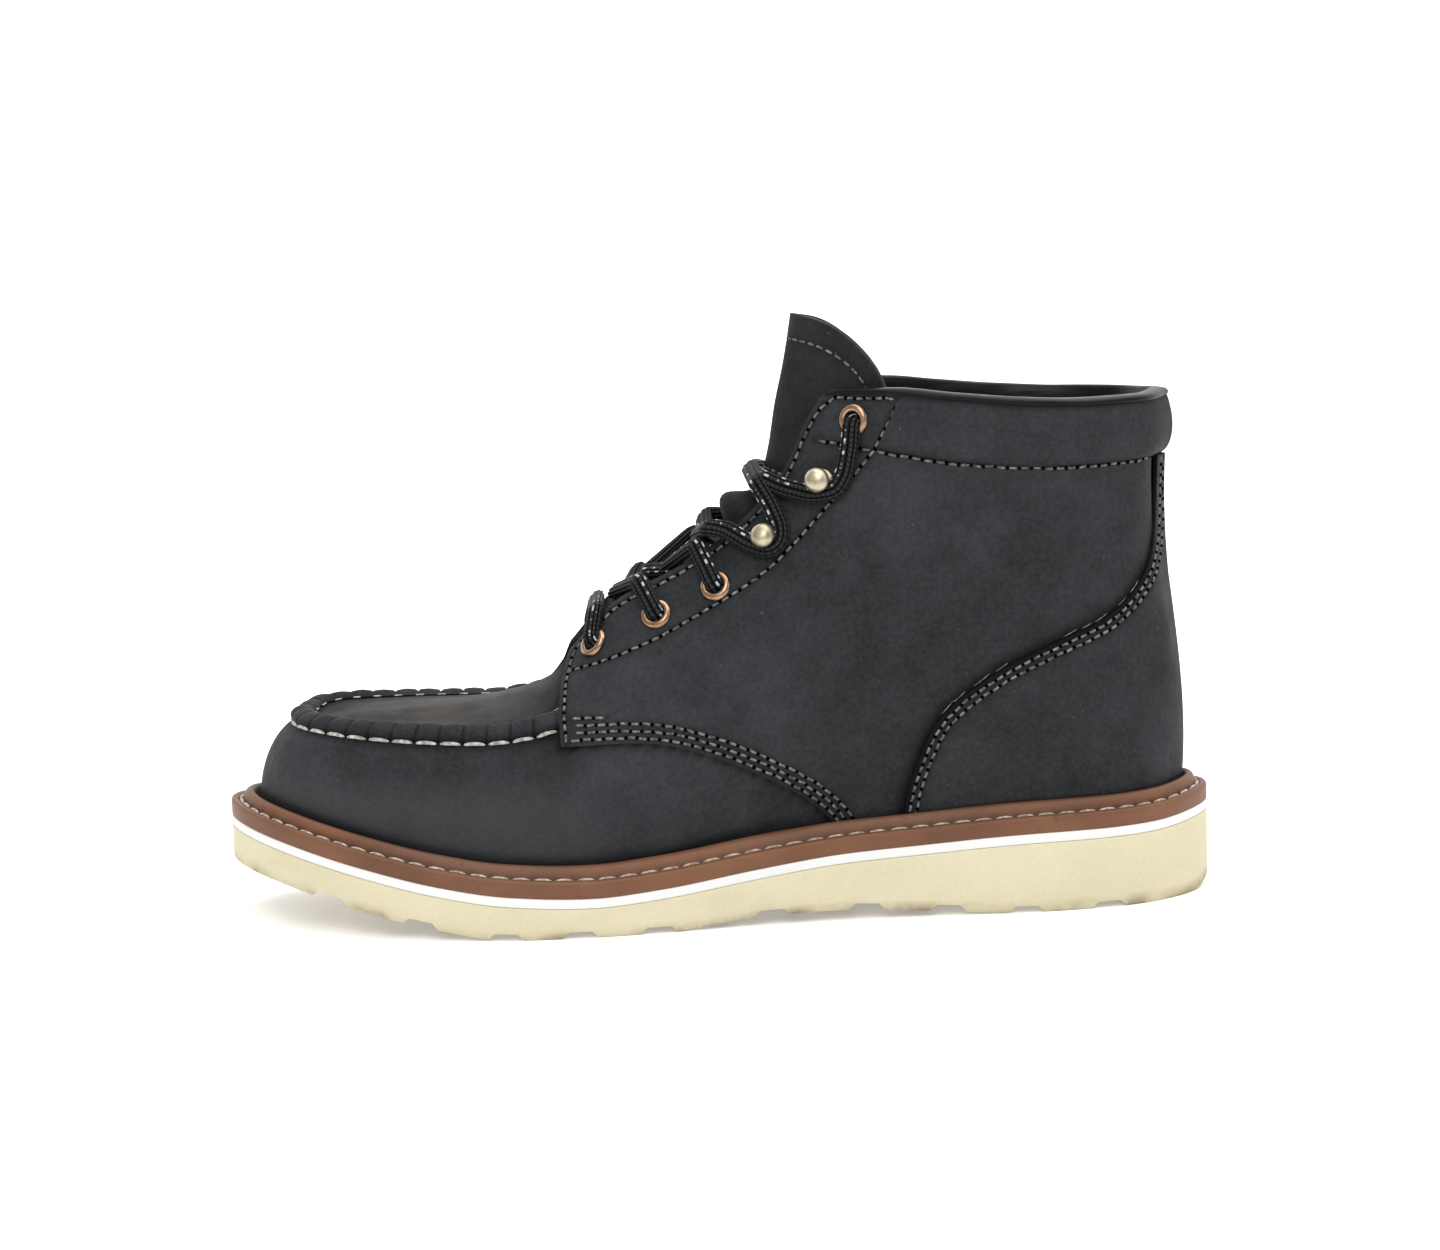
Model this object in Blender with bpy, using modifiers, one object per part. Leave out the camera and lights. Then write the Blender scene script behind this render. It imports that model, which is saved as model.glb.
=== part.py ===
"""Six-inch moc-toe work boot, left foot, standing on its wedge sole.

+X runs to the toe, +Y to the outer (lateral) side, +Z up from the floor.
Every size below is in millimetres; meshes are scaled to metres as they are made.
"""
import math
from functools import lru_cache

import bmesh
import bpy
import numpy as np
from mathutils import Matrix, Vector

MM = 0.001
GAP = 0.3                      # clearance between pieces that meet
LATERAL, MEDIAL = 1, -1

# Sole plan: x, lateral y, medial y. The two tips close the outline.
TOE_TIP = (154.0, -7.0)
HEEL_TIP = (-154.0, 0.0)
SOLE_PLAN = (
    (148, 12.0, -25.0),
    (134, 28.0, -39.0),
    (112, 42.0, -48.5),
    (85, 51.0, -53.0),
    (58, 54.5, -53.0),
    (28, 52.0, -46.5),
    (-5, 46.0, -39.5),
    (-40, 41.5, -36.0),
    (-75, 40.0, -37.0),
    (-105, 38.5, -37.0),
    (-130, 31.5, -31.0),
    (-147, 17.0, -17.0),
)

# Sole from the side: x, height of the tread, height of the outsole's top.
SOLE_SIDE = (
    (154, 18.0, 28.8),
    (136, 14.3, 24.6),
    (111, 8.2, 18.6),
    (86, 2.8, 13.2),
    (66, 0.0, 10.3),
    (40, 0.0, 9.0),
    (20, 0.0, 10.4),
    (-10, 2.6, 14.5),
    (-35, 3.2, 17.6),
    (-60, 1.9, 19.3),
    (-92, 0.0, 21.3),
    (-135, 0.0, 22.4),
    (-147, 0.0, 23.6),
    (-154, 3.0, 24.4),
)
MIDSOLE_THICK = 2.8
INSOLE_THICK = 3.5
INSOLE_INSET = 15.5            # from the sole's outline
GROOVE_X = (121, 93, 67, 44.5, 20.6, -14, -43, -68, -92, -118)
GROOVE_MOUTH, GROOVE_ROOT, GROOVE_DEPTH, GROOVE_SPAN = 10.0, 7.0, 1.9, 140.0

# Welt section: share of its width in from the sole's edge, height over the midsole.
WELT_BEAD = 8.8
WELT_SECTION = (
    (0.0, 0.0),
    (0.0, 4.6),
    (0.07, 5.2),
    (0.54, 5.2),
    (0.66, 7.9),
    (0.80, WELT_BEAD),
    (1.0, 7.8),
    (1.0, 0.0),
)

# Upper, one row for each section from the toe's centre (0) to the heel's centre (1) along the sole's edge.
# inset: feather line in from the sole's edge; lean: outward slope there in degrees.
# seam_x, seam_half, seam_z: the moc seam, which runs on as the shoulder line of the quarter and shaft.
# below, above: inward slope at that line in degrees, on its lower and upper side.
# top_x, top_half, top_z, top_tilt: vamp centre line, then throat edge, then collar rim.
SECTION_COLUMNS = ("at", "inset", "lean", "seam_x", "seam_half", "seam_z", "below", "above",
                   "top_x", "top_half", "top_z", "top_tilt")
SECTIONS = (
    (0.000, 9.7, 11.0, 130.5, 0.0, 62.3, 70, 82, 108.0, 0.0, 65.3, 90),
    (0.050, 9.7, 11.0, 127.7, 10.8, 62.1, 69, 82, 105.0, 0.0, 65.6, 90),
    (0.100, 9.8, 10.5, 120.2, 19.3, 61.7, 66, 80, 100.0, 0.0, 66.0, 90),
    (0.160, 10.0, 10.0, 108.0, 26.0, 61.1, 60, 78, 92.0, 0.0, 66.6, 90),
    (0.230, 10.2, 9.5, 91.0, 30.5, 60.5, 51, 76, 81.0, 0.0, 67.4, 90),
    (0.300, 10.4, 9.5, 71.5, 32.5, 60.0, 49, 72, 67.0, 0.0, 68.6, 90),
    (0.360, 10.8, 9.0, 53.5, 32.5, 62.5, 46, 60, 53.5, 0.0, 72.0, 86),
    (0.405, 11.6, 8.0, 41.0, 31.5, 69.0, 42, 46, 44.0, 9.0, 82.0, 62),
    (0.460, 12.2, 7.0, 26.0, 30.5, 78.0, 36, 36, 30.0, 14.5, 97.0, 48),
    (0.530, 12.2, 5.5, 6.0, 30.0, 90.0, 30, 30, 10.0, 16.0, 107.5, 45),
    (0.590, 12.2, 4.0, -13.0, 31.0, 99.0, 24, 24, -7.0, 17.0, 119.0, 42),
    (0.650, 12.2, 3.0, -31.0, 32.5, 106.0, 17, 17, -22.0, 18.0, 135.5, 34),
    (0.700, 12.3, 2.5, -47.0, 33.5, 110.0, 9, 9, -37.0, 20.5, 160.0, 19),
    (0.750, 12.6, 2.5, -63.0, 34.5, 110.0, 4, 4, -55.0, 32.5, 160.5, 4),
    (0.800, 12.8, 3.0, -81.0, 34.8, 108.0, 2, 2, -74.0, 36.5, 158.5, -2),
    (0.850, 12.8, 5.0, -99.0, 33.0, 104.0, 3, 3, -94.0, 36.5, 156.5, -4),
    (0.900, 12.4, 7.0, -117.5, 28.2, 101.0, 5, 4, -114.0, 32.0, 155.5, -6),
    (0.950, 11.9, 8.5, -133.0, 17.2, 99.0, 6, 5, -132.0, 20.5, 155.5, -7),
    (1.000, 11.6, 9.0, -140.0, 0.0, 98.0, 7, 5, -141.3, 0.0, 156.0, -8),
)
MEDIAL_TOE_RISE = 2.0          # the inner side of the toe box stands higher
UPPER_WALL = 2.0
FEATHER_LIFT = 1.0             # lower edge of the upper over the midsole
THROAT_END, COLLAR_CORNER = 0.36, 0.70
BENDS = (0.61, 0.668, 0.722)   # where the edge bends below and behind the collar corner
STATIONS, STATION_CROWD = 19, 0.45
LOWER_ROWS, UPPER_ROWS = 6, 4  # rows below and above the seam line

# Overlays, by their edges as seen from the side: x, z.
QUARTER_FRONT = ((47.5, 57.0), (48.0, 68.0), (46.3, 79.0), (42.0, 88.0), (34.0, 98.0))
QUARTER_LOWER = ((-36.0, 20.0), (-33.6, 29.0), (-23.0, 38.5), (-5.0, 48.5), (12.0, 55.0), (27.0, 57.5),
                 QUARTER_FRONT[0])
COUNTER_EDGE = ((-55.0, 15.0), (-55.6, 31.0), (-60.6, 48.0), (-68.6, 62.0), (-85.6, 74.5), (-104.0, 83.0),
                (-118.0, 89.5), (-128.5, 99.5), (-133.0, 112.0), (-134.5, 136.5))
COLLAR_SEAM = ((-134.5, 136.5), (-117.0, 136.0), (-99.0, 136.0), (-72.0, 138.6), (-49.0, 142.5))
CUFF_FRONT = ((-49.0, 142.5), (-53.6, 152.0), (-60.0, 166.0))
QUARTER_THICK = 1.6
QUARTER_FROM = (0.55, 0.60)    # places where the quarter comes down to the welt
COUNTER_THICK = 2.6
COUNTER_FROM = (0.61, 0.65)
CUFF_SWELL, CUFF_HEIGHT, CUFF_ROWS = 3.2, 12.5, 7
CUFF_LEVEL = 1.5               # lowest level of the skin that the cuff is cut from
# Binding section: distance out from the rim, height over it.
BINDING_SECTION = ((2.5, -3.5), (2.5, 0.5), (-3.5, 0.5), (-3.5, -3.5), (-4.4, -3.5),
                   (-4.4, 0.9), (-3.5, 1.6), (2.5, 1.6), (3.4, 0.9), (3.4, -3.5))
ROLL_WIDTH, ROLL_HEIGHT, ROLL_GAP = 7.5, 3.0, 0.45
ROLL_END = 0.378               # station where the roll meets the quarter

# Fittings on the eyestay, as seen from the side: x, z, and how far the seat stands off the leather.
EYELETS = ((37.8, 85.4, 0.5), (18.4, 94.4, 0.4), (0.1, 102.7, 0.4), (-43.5, 152.0, 1.1))
STUDS = ((-16.4, 115.9, 0.9), (-33.1, 133.4, 0.7))
QUARTER_TOP = GAP + QUARTER_THICK  # outside of the quarter over the upper
EYELET_HOLE = 6.4              # hole in the leather
TURN_STEPS = 8
# Turned sections: radius, height over the seat.
EYELET_SECTION = ((2.5, 1.0), (3.6, 1.0), (4.5, 0.0), (2.9, 0.0), (2.9, -3.6), (2.4, -3.6))
STUD_SECTION = ((0.0, 7.2), (2.4, 6.7), (4.1, 4.9), (3.9, 3.4), (2.1, 2.8),
                (2.1, 0.7), (4.0, 0.6), (4.0, 0.0), (0.0, 0.0))

# Tongue, base to top: share of its length, x and z of the centre line, half width,
# how far the edges fall back.
TONGUE = (
    (0.00, 56.0, 65.0, 20.0, 7.0),
    (0.10, 44.0, 76.0, 21.0, 7.0),
    (0.24, 28.0, 93.0, 22.0, 8.0),
    (0.38, 9.0, 104.5, 23.0, 9.0),
    (0.50, -7.0, 117.0, 24.0, 12.0),
    (0.60, -15.5, 129.0, 25.0, 22.0),
    (0.70, -19.5, 142.0, 26.0, 31.0),
    (0.80, -21.8, 155.0, 27.0, 43.0),
    (0.90, -25.0, 169.0, 28.0, 46.0),
    (1.00, -27.6, 183.5, 29.0, 42.0),
)
TONGUE_THICK = 3.0
TONGUE_CORNER = 0.16           # share of its length lost at the rounded top corners
TONGUE_ROWS, TONGUE_COLUMNS = 14, 9

LACE = 5.0
LACE_CLEAR = 1.6               # between the lace and what it passes over
LACE_LIFT = LACE_CLEAR + LACE / 2
LACE_SLOPE = 40.0              # of the throat
LACE_SAG = 0.3                 # a crossing lies lower over the tongue than at the throat edges
LACE_TOP_RUN = ((-32.0, 124.0), (-41.0, 128.0), (-43.0, 137.0), (-43.5, 143.5))


def new_collection(name):
    collection = bpy.data.collections.new(name)
    bpy.context.scene.collection.children.link(collection)
    return collection


for old in list(bpy.data.objects):
    bpy.data.objects.remove(old, do_unlink=True)
BOOT = new_collection("work_boot")
CUTTERS = new_collection("cutters")


def material(name, colour, roughness, metallic=0.0):
    made = bpy.data.materials.new(name)
    made.use_nodes = True
    shader = made.node_tree.nodes["Principled BSDF"]
    shader.inputs["Base Color"].default_value = (*colour, 1.0)
    shader.inputs["Roughness"].default_value = roughness
    shader.inputs["Metallic"].default_value = metallic
    return made


BLACK_LEATHER = material("black_leather", (0.020, 0.021, 0.023), 0.62)
BLACK_BINDING = material("black_binding", (0.012, 0.012, 0.013), 0.35)
CREAM_RUBBER = material("cream_rubber", (0.78, 0.70, 0.44), 0.75)
WHITE_RUBBER = material("white_rubber", (0.85, 0.85, 0.83), 0.6)
BROWN_WELT = material("brown_welt", (0.20, 0.08, 0.045), 0.55)
TAN_BOARD = material("tan_board", (0.25, 0.19, 0.13), 0.85)
COPPER = material("antique_copper", (0.42, 0.22, 0.11), 0.35, 1.0)
BRASS = material("antique_brass", (0.56, 0.46, 0.28), 0.3, 1.0)
LACE_CORD = material("lace_cord", (0.015, 0.015, 0.016), 0.85)


def monotone(table, column):
    """Reader of one column of a table by its first column, smooth and with no overshoot."""
    rows = np.array(sorted((row[0], row[column]) for row in table), float)
    x, y = rows[:, 0], rows[:, 1]
    step = np.diff(x)
    slope = np.diff(y) / step
    lead = np.concatenate([slope[:1], np.zeros(len(x) - 2), slope[-1:]])
    for i in range(1, len(x) - 1):
        if slope[i - 1] * slope[i] > 0:
            first, second = 2 * step[i] + step[i - 1], step[i] + 2 * step[i - 1]
            lead[i] = (first + second) / (first / slope[i - 1] + second / slope[i])

    def read(at):
        at = min(max(at, x[0]), x[-1])
        i = min(max(np.searchsorted(x, at) - 1, 0), len(step) - 1)
        return hermite(y[i], y[i + 1], step[i] * lead[i], step[i] * lead[i + 1], (at - x[i]) / step[i])
    return read


def hermite(start, end, lead_out, lead_in, u):
    return (start * (1 + 2 * u) * (1 - u) ** 2 + end * u * u * (3 - 2 * u)
            + lead_out * u * (1 - u) ** 2 - lead_in * u * u * (1 - u))


def closed_curve(points, per_span):
    """Smooth closed curve through points, as a dense polygon."""
    p = np.array(points, float)
    count = len(p)
    run = np.roll(p, -1, 0) - p
    length = np.linalg.norm(run, axis=1)
    matrix = np.zeros((count, count))
    right = np.zeros_like(p)
    for i in range(count):
        before, after = length[i - 1], length[i]
        matrix[i, i - 1] += 1 / before
        matrix[i, i] += 2 / before + 2 / after
        matrix[i, (i + 1) % count] += 1 / after
        right[i] = 3 * (run[i - 1] / before ** 2 + run[i] / after ** 2)
    slope = np.linalg.solve(matrix, right)
    u = np.arange(per_span)[:, None] / per_span
    spans = [hermite(p[i], p[(i + 1) % count], length[i] * slope[i], length[i] * slope[(i + 1) % count], u)
             for i in range(count)]
    return np.concatenate(spans)


def sole_edge():
    """Dense plan of the sole's edge by place: 0 at the toe, 1 at the heel, minus on the medial side."""
    lateral = [(x, y) for x, y, _ in SOLE_PLAN]
    medial = [(x, y) for x, _, y in reversed(SOLE_PLAN)]
    per_span = 24
    ring = closed_curve([TOE_TIP] + lateral + [HEEL_TIP] + medial, per_span)
    heel = (len(SOLE_PLAN) + 1) * per_span
    halves = [ring[:heel + 1], np.vstack([ring[heel:], ring[:1]])[::-1]]
    table = []
    for side, line in zip((LATERAL, MEDIAL), halves):
        run = np.concatenate([[0], np.cumsum(np.linalg.norm(np.diff(line, axis=0), axis=1))])
        table.append(np.column_stack([side * run / run[-1], line]))
    return np.vstack([table[1][:0:-1], table[0]])


EDGE = sole_edge()
HALVES = (EDGE[EDGE[:, 0] <= 0], EDGE[EDGE[:, 0] >= 0][::-1])
tread_z = monotone(SOLE_SIDE, 1)
outsole_z = monotone(SOLE_SIDE, 2)
SECTION = {name: monotone(SECTIONS, i) for i, name in enumerate(SECTION_COLUMNS) if i}


def wrapped(at):
    """Place brought back to -1 to 1 where it runs on past the heel."""
    return (at + 1) % 2 - 1 if abs(at) > 1 else at


def edge_point(at):
    return np.array([np.interp(wrapped(at), EDGE[:, 0], EDGE[:, k]) for k in (1, 2)])


def inward(at, reach=0.01):
    """Unit inward normal of the sole's edge."""
    along = edge_point(at + reach) - edge_point(at - reach)
    return np.array([-along[1], along[0]]) / np.linalg.norm(along)


def outline(at, inset=0.0):
    """Point on the sole's edge, moved inward."""
    return edge_point(at) + inset * inward(at)


def middle(x):
    """Centre line of the sole's plan."""
    return 0.5 * sum(np.interp(x, half[:, 1], half[:, 2]) for half in HALVES)


def midsole_z(x):
    return outsole_z(x) + GAP + MIDSOLE_THICK


def ease(low, high, value):
    u = min(max((value - low) / (high - low), 0.0), 1.0)
    return u * u * (3 - 2 * u)


def tilted(normal, degrees):
    """Unit vector that rises and leans inward by an angle."""
    angle = math.radians(degrees)
    return np.array([normal[0] * math.sin(angle), normal[1] * math.sin(angle), math.cos(angle)])


@lru_cache(maxsize=None)
def meridian(at):
    """The three points of a section and the slopes between them: feather line, seam line and top edge."""
    side = MEDIAL if at < 0 else LATERAL
    row = {name: read(abs(at)) for name, read in SECTION.items()}
    foot = outline(at, row["inset"])
    foot = np.array([*foot, midsole_z(foot[0]) + FEATHER_LIFT])
    rise = MEDIAL_TOE_RISE * ease(0.0, -0.1, at) * (1 - ease(-0.36, -0.5, at))
    seam = np.array([row["seam_x"], middle(row["seam_x"]) + side * row["seam_half"], row["seam_z"] + rise])
    top = np.array([row["top_x"], middle(row["top_x"]) + side * row["top_half"], row["top_z"]])
    normal = inward(at)
    across = np.array([-normal[1], normal[0], 0.0])
    slopes = []
    for start, end, first, last in ((foot, seam, -row["lean"], row["below"]),
                                    (seam, top, row["above"], row["top_tilt"])):
        slip = across * ((end - start) @ across)
        length = np.linalg.norm(end - start - slip)
        slopes.append((slip + length * tilted(normal, first), slip + length * tilted(normal, last)))
    return foot, seam, top, slopes


def skin(at, up):
    """Point on the outside of the upper: up is 0 at the feather line, 1 at the seam line, 2 at the top."""
    foot, seam, top, slopes = meridian(wrapped(at))
    if up <= 1:
        return hermite(foot, seam, *slopes[0], up)
    return hermite(seam, top, *slopes[1], up - 1)


def skin_normal(at, up, step=0.004):
    level = min(up, 2.0 - 5 * step)    # the two sides meet along the vamp's centre line
    along = skin(at + step, level) - skin(at - step, level)
    rising = skin(at, min(up + step, 2.0)) - skin(at, max(up - step, 0.0))
    normal = np.cross(along, rising)
    return normal / np.linalg.norm(normal)


def stations(first=0.0, last=1.0):
    """Section places along one side, closer at toe and heel, and one wherever the outline turns."""
    even = np.linspace(0, 1, STATIONS)
    places = even - STATION_CROWD * np.sin(2 * math.pi * even) / (2 * math.pi)
    turns = (THROAT_END, ROLL_END, COLLAR_CORNER, *BENDS)
    clear = [place for place in places if min(abs(place - turn) for turn in turns) > 0.012]
    return [place for place in sorted([*clear, *turns]) if first <= place <= last]


def around(first=0.0):
    """Places from a station on the lateral side, round the heel, to the same station on the medial side."""
    lateral = stations(first)
    return lateral + [-place for place in lateral[-2::-1]]


def levels():
    lower = np.linspace(0, 1, LOWER_ROWS + 1)
    upper = np.linspace(1, 2, UPPER_ROWS + 1)[1:]
    return list(lower) + list(upper)


def add_object(name, bm, coat, collection=BOOT):
    """Scale a mesh in millimetres to metres and make it a named object."""
    bmesh.ops.scale(bm, vec=(MM, MM, MM), verts=bm.verts)
    mesh = bpy.data.meshes.new(name)
    bm.to_mesh(mesh)
    bm.free()
    made = bpy.data.objects.new(name, mesh)
    collection.objects.link(made)
    made.data.materials.append(coat)
    made.data.shade_smooth()
    made.data.set_sharp_from_angle(angle=math.radians(35))
    return made


def loft(sections, ring=False, loop=False, caps=False):
    """Mesh through a list of sections: ring closes each section, loop joins the last to the first."""
    bm = bmesh.new()
    grid = [[bm.verts.new(point) for point in row] for row in sections]
    for i in range(len(grid) if loop else len(grid) - 1):
        near, far = grid[i], grid[(i + 1) % len(grid)]
        for j in range(len(near) if ring else len(near) - 1):
            k = (j + 1) % len(near)
            bm.faces.new((near[j], far[j], far[k]))
            bm.faces.new((near[j], far[k], near[k]))
    if caps:
        bm.faces.new(grid[0])
        bm.faces.new(reversed(grid[-1]))
    bmesh.ops.remove_doubles(bm, verts=bm.verts, dist=0.01)
    if ring:
        bmesh.ops.recalc_face_normals(bm, faces=bm.faces)
    return bm


def skin_sheet(places, heights, offset=0.0, swell=None):
    """Rows of points over the skin, one row for each place, moved out by an offset and by a swell."""
    def moved(at, up):
        point = skin(at, up)
        return point + skin_normal(at, up) * (offset + (swell(point) if swell else 0.0))
    return [[moved(at, up) for up in heights] for at in places]


def add_shell(made, thickness, outward):
    shell = made.modifiers.new("wall", "SOLIDIFY")
    shell.thickness = thickness * MM
    shell.offset = 1.0 if outward else -1.0
    shell.use_even_offset = True
    shell.use_quality_normals = True


def cut(made, cutter, operation="DIFFERENCE"):
    boolean = made.modifiers.new(operation.lower(), "BOOLEAN")
    boolean.operation = operation
    boolean.object = cutter
    boolean.solver = "EXACT"


def as_cutter(made):
    made.hide_render = True
    made.display_type = "WIRE"
    return made


def smooth_run(edge, per_span=3):
    """Dense points on a smooth curve through the points of an edge, without the last one."""
    p = np.array(edge, float)
    if len(p) == 2:
        return [p[0]]
    padded = np.vstack([2 * p[0] - p[1], p, 2 * p[-1] - p[-2]])
    leads = 0.5 * (padded[2:] - padded[:-2])
    return [hermite(p[i], p[i + 1], leads[i], leads[i + 1], u)
            for i in range(len(p) - 1) for u in np.arange(per_span) / per_span]


def side_prism(name, edges, low_y, high_y):
    """Cutter whose outline is drawn from the side, through a span of y. Each edge is a run of x, z."""
    points = [point for edge in edges for point in smooth_run(edge)]
    sections = [[(x, y, z) for x, z in points] for y in (low_y, high_y)]
    return as_cutter(add_object(name, loft(sections, ring=True, caps=True), BLACK_LEATHER, CUTTERS))


def shifted(edge, dx, dz):
    return tuple((x + dx, z + dz) for x, z in edge)


# Outsole, midsole, insole and welt


def sole_layer(low, high, inset):
    """Slab between two heights over the sole's plan, moved inward from its edge."""
    rows = []
    for at in stations():
        lateral, medial = outline(at, inset), outline(-at, inset)
        centre = 0.5 * (lateral + medial)
        rows.append([(*p, low(p[0])) for p in (lateral, centre, medial)]
                    + [(*p, high(p[0])) for p in (medial, centre, lateral)])
    return loft(rows, ring=True)


def groove_cutter():
    """Cross grooves of the tread, each square to the tread where it lies."""
    bm = bmesh.new()
    for x in GROOVE_X:
        slope = math.atan2(tread_z(x + 2) - tread_z(x - 2), 4)
        place = Matrix.Translation((x, 0, tread_z(x))) @ Matrix.Rotation(-slope, 4, "Y")
        for vert in bmesh.ops.create_cube(bm, size=1.0)["verts"]:
            top = vert.co.z > 0
            width = GROOVE_ROOT if top else 2 * GROOVE_MOUTH - GROOVE_ROOT
            depth = GROOVE_DEPTH if top else -GROOVE_DEPTH
            vert.co = place @ Vector((vert.co.x * width, vert.co.y * GROOVE_SPAN, depth))
    return as_cutter(add_object("tread_grooves", bm, CREAM_RUBBER, CUTTERS))


def build_sole():
    outsole = add_object("outsole", sole_layer(tread_z, outsole_z, 0.0), CREAM_RUBBER)
    cut(outsole, groove_cutter())
    add_object("midsole", sole_layer(lambda x: outsole_z(x) + GAP, midsole_z, 0.0), WHITE_RUBBER)
    insole_z = lambda x: midsole_z(x) + GAP
    board = sole_layer(insole_z, lambda x: insole_z(x) + INSOLE_THICK, INSOLE_INSET)
    add_object("insole", board, TAN_BOARD)


def welt_width(at):
    """From the sole's edge to whatever stands behind the bead: vamp, then quarter, then counter."""
    place = abs(at)
    layers = QUARTER_TOP * ease(*QUARTER_FROM, place)
    layers += (COUNTER_THICK - QUARTER_THICK) * ease(*COUNTER_FROM, place)
    lean = math.tan(math.radians(SECTION["lean"](place))) * WELT_BEAD
    return SECTION["inset"](place) - layers - lean - 2 * GAP


def build_welt():
    """Ring round the sole's edge, with a stitch ledge and a bead that stands against the upper."""
    rows = []
    for at in around()[:-1]:
        spots = [outline(at, share * welt_width(at)) for share, _ in WELT_SECTION]
        rows.append([(*p, midsole_z(p[0]) + GAP + height) for p, (_, height) in zip(spots, WELT_SECTION)])
    add_object("welt", loft(rows, ring=True, loop=True), BROWN_WELT)


# Upper and the panels over it


def on_skin(side, x, z):
    """Point and outward normal of the skin where a fitting at x, z from the side stands over it."""
    def seen(at, up):
        return (skin(at, up) + QUARTER_TOP * skin_normal(at, up))[[0, 2]]
    spots = [(side * at, up) for at in np.linspace(0.36, 0.78, 43) for up in np.linspace(0.6, 1.95, 28)]
    at, up = min(spots, key=lambda spot: np.hypot(*(seen(*spot) - (x, z))))
    step = 0.003
    for _ in range(6):
        here = seen(at, up)
        slopes = np.column_stack([seen(at + step, up) - here, here - seen(at, up - step)]) / step
        at, up = np.array([at, up]) + np.linalg.solve(slopes, np.array([x, z]) - here)
    return skin(at, up), skin_normal(at, up)


def facing(point, normal, lift=0.0):
    """Matrix with its z axis along an outward normal, lifted off a point."""
    turn = Vector(normal).to_track_quat("Z", "Y").to_matrix().to_4x4()
    return Matrix.Translation(Vector(point + lift * normal)) @ turn


def hole_cutter():
    bm = bmesh.new()
    for side in (LATERAL, MEDIAL):
        for x, z, _ in EYELETS:
            place = facing(*on_skin(side, x, z))
            bmesh.ops.create_cone(bm, cap_ends=True, segments=12, radius1=EYELET_HOLE / 2,
                                  radius2=EYELET_HOLE / 2, depth=16.0, matrix=place)
    return as_cutter(add_object("eyelet_holes", bm, COPPER, CUTTERS))


def build_upper(holes):
    upper = add_object("upper", loft(skin_sheet(around()[:-1], levels()), loop=True), BLACK_LEATHER)
    add_shell(upper, UPPER_WALL, outward=False)
    cut(upper, holes)


def build_quarters(holes):
    """Side panels with the eyestay, from the vamp back to the counter and up to the cuff."""
    above = (QUARTER_FRONT[-1], (30.0, 125.0), (-20.0, 185.0), CUFF_FRONT[-1])
    below = (COUNTER_EDGE[0], QUARTER_LOWER[0])
    edges = [QUARTER_FRONT] + [above[i:i + 2] for i in range(len(above) - 1)]
    edges += [CUFF_FRONT[::-1], COLLAR_SEAM[::-1], COUNTER_EDGE[::-1], below, QUARTER_LOWER]
    for side, name in ((LATERAL, "quarter_lateral"), (MEDIAL, "quarter_medial")):
        places = sorted(side * place for place in stations(0.30))
        panel = add_object(name, loft(skin_sheet(places, levels(), GAP)), BLACK_LEATHER)
        add_shell(panel, QUARTER_THICK, outward=True)
        low, high = sorted((side * -20.0, side * 90.0))
        cut(panel, side_prism(name + "_outline", edges, low, high), "INTERSECT")
        cut(panel, holes)


def build_counter():
    """Heel panel, narrowing upward to a strip over the back seam."""
    counter = add_object("counter", loft(skin_sheet(around(0.60), levels(), GAP)), BLACK_LEATHER)
    add_shell(counter, COUNTER_THICK, outward=True)
    edge = shifted(COUNTER_EDGE, -GAP, -GAP)
    behind = ((-170.0, edge[-1][1]), (-170.0, edge[0][1]))
    edges = [edge, (edge[-1], behind[0]), behind, (behind[1], edge[0])]
    cut(counter, side_prism("counter_outline", edges, -90.0, 90.0), "INTERSECT")


def build_cuff():
    """Padded panel round the ankle, between the collar seam and the rim."""
    seam_z = monotone(COLLAR_SEAM, 1)

    def swell(point):
        share = min(max((point[2] - seam_z(point[0])) / CUFF_HEIGHT, 0.0), 1.0)
        return QUARTER_THICK + CUFF_SWELL * math.sin(math.pi * share) ** 0.7
    places = around(0.62)
    inner = skin_sheet(places, [up for up in levels() if up >= CUFF_LEVEL], GAP)
    outer = skin_sheet(places, np.linspace(CUFF_LEVEL, 2.0, CUFF_ROWS), GAP, swell)
    sections = [low + high[::-1] for low, high in zip(inner, outer)]
    cuff = add_object("collar_cuff", loft(sections, ring=True, caps=True), BLACK_LEATHER)
    seam, front = shifted(COLLAR_SEAM, -GAP, GAP), shifted(CUFF_FRONT, -GAP, GAP)
    behind = ((-170.0, 190.0), (-170.0, seam[0][1]))
    edges = [seam, front, (front[-1], behind[0]), behind, (behind[1], seam[0])]
    cut(cuff, side_prism("cuff_outline", edges, -90.0, 90.0), "INTERSECT")


def build_binding():
    """Turned edge over the collar rim, from one throat corner round the heel to the other."""
    rows = []
    for at in around(COLLAR_CORNER):
        rim, out = skin(at, 2.0), skin_normal(at, 2.0)
        rise = rim - skin(at, 1.98)
        rise /= np.linalg.norm(rise)
        rows.append([rim + out * across + rise * height for across, height in BINDING_SECTION])
    add_object("collar_binding", loft(rows, ring=True, caps=True), BLACK_BINDING)


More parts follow.
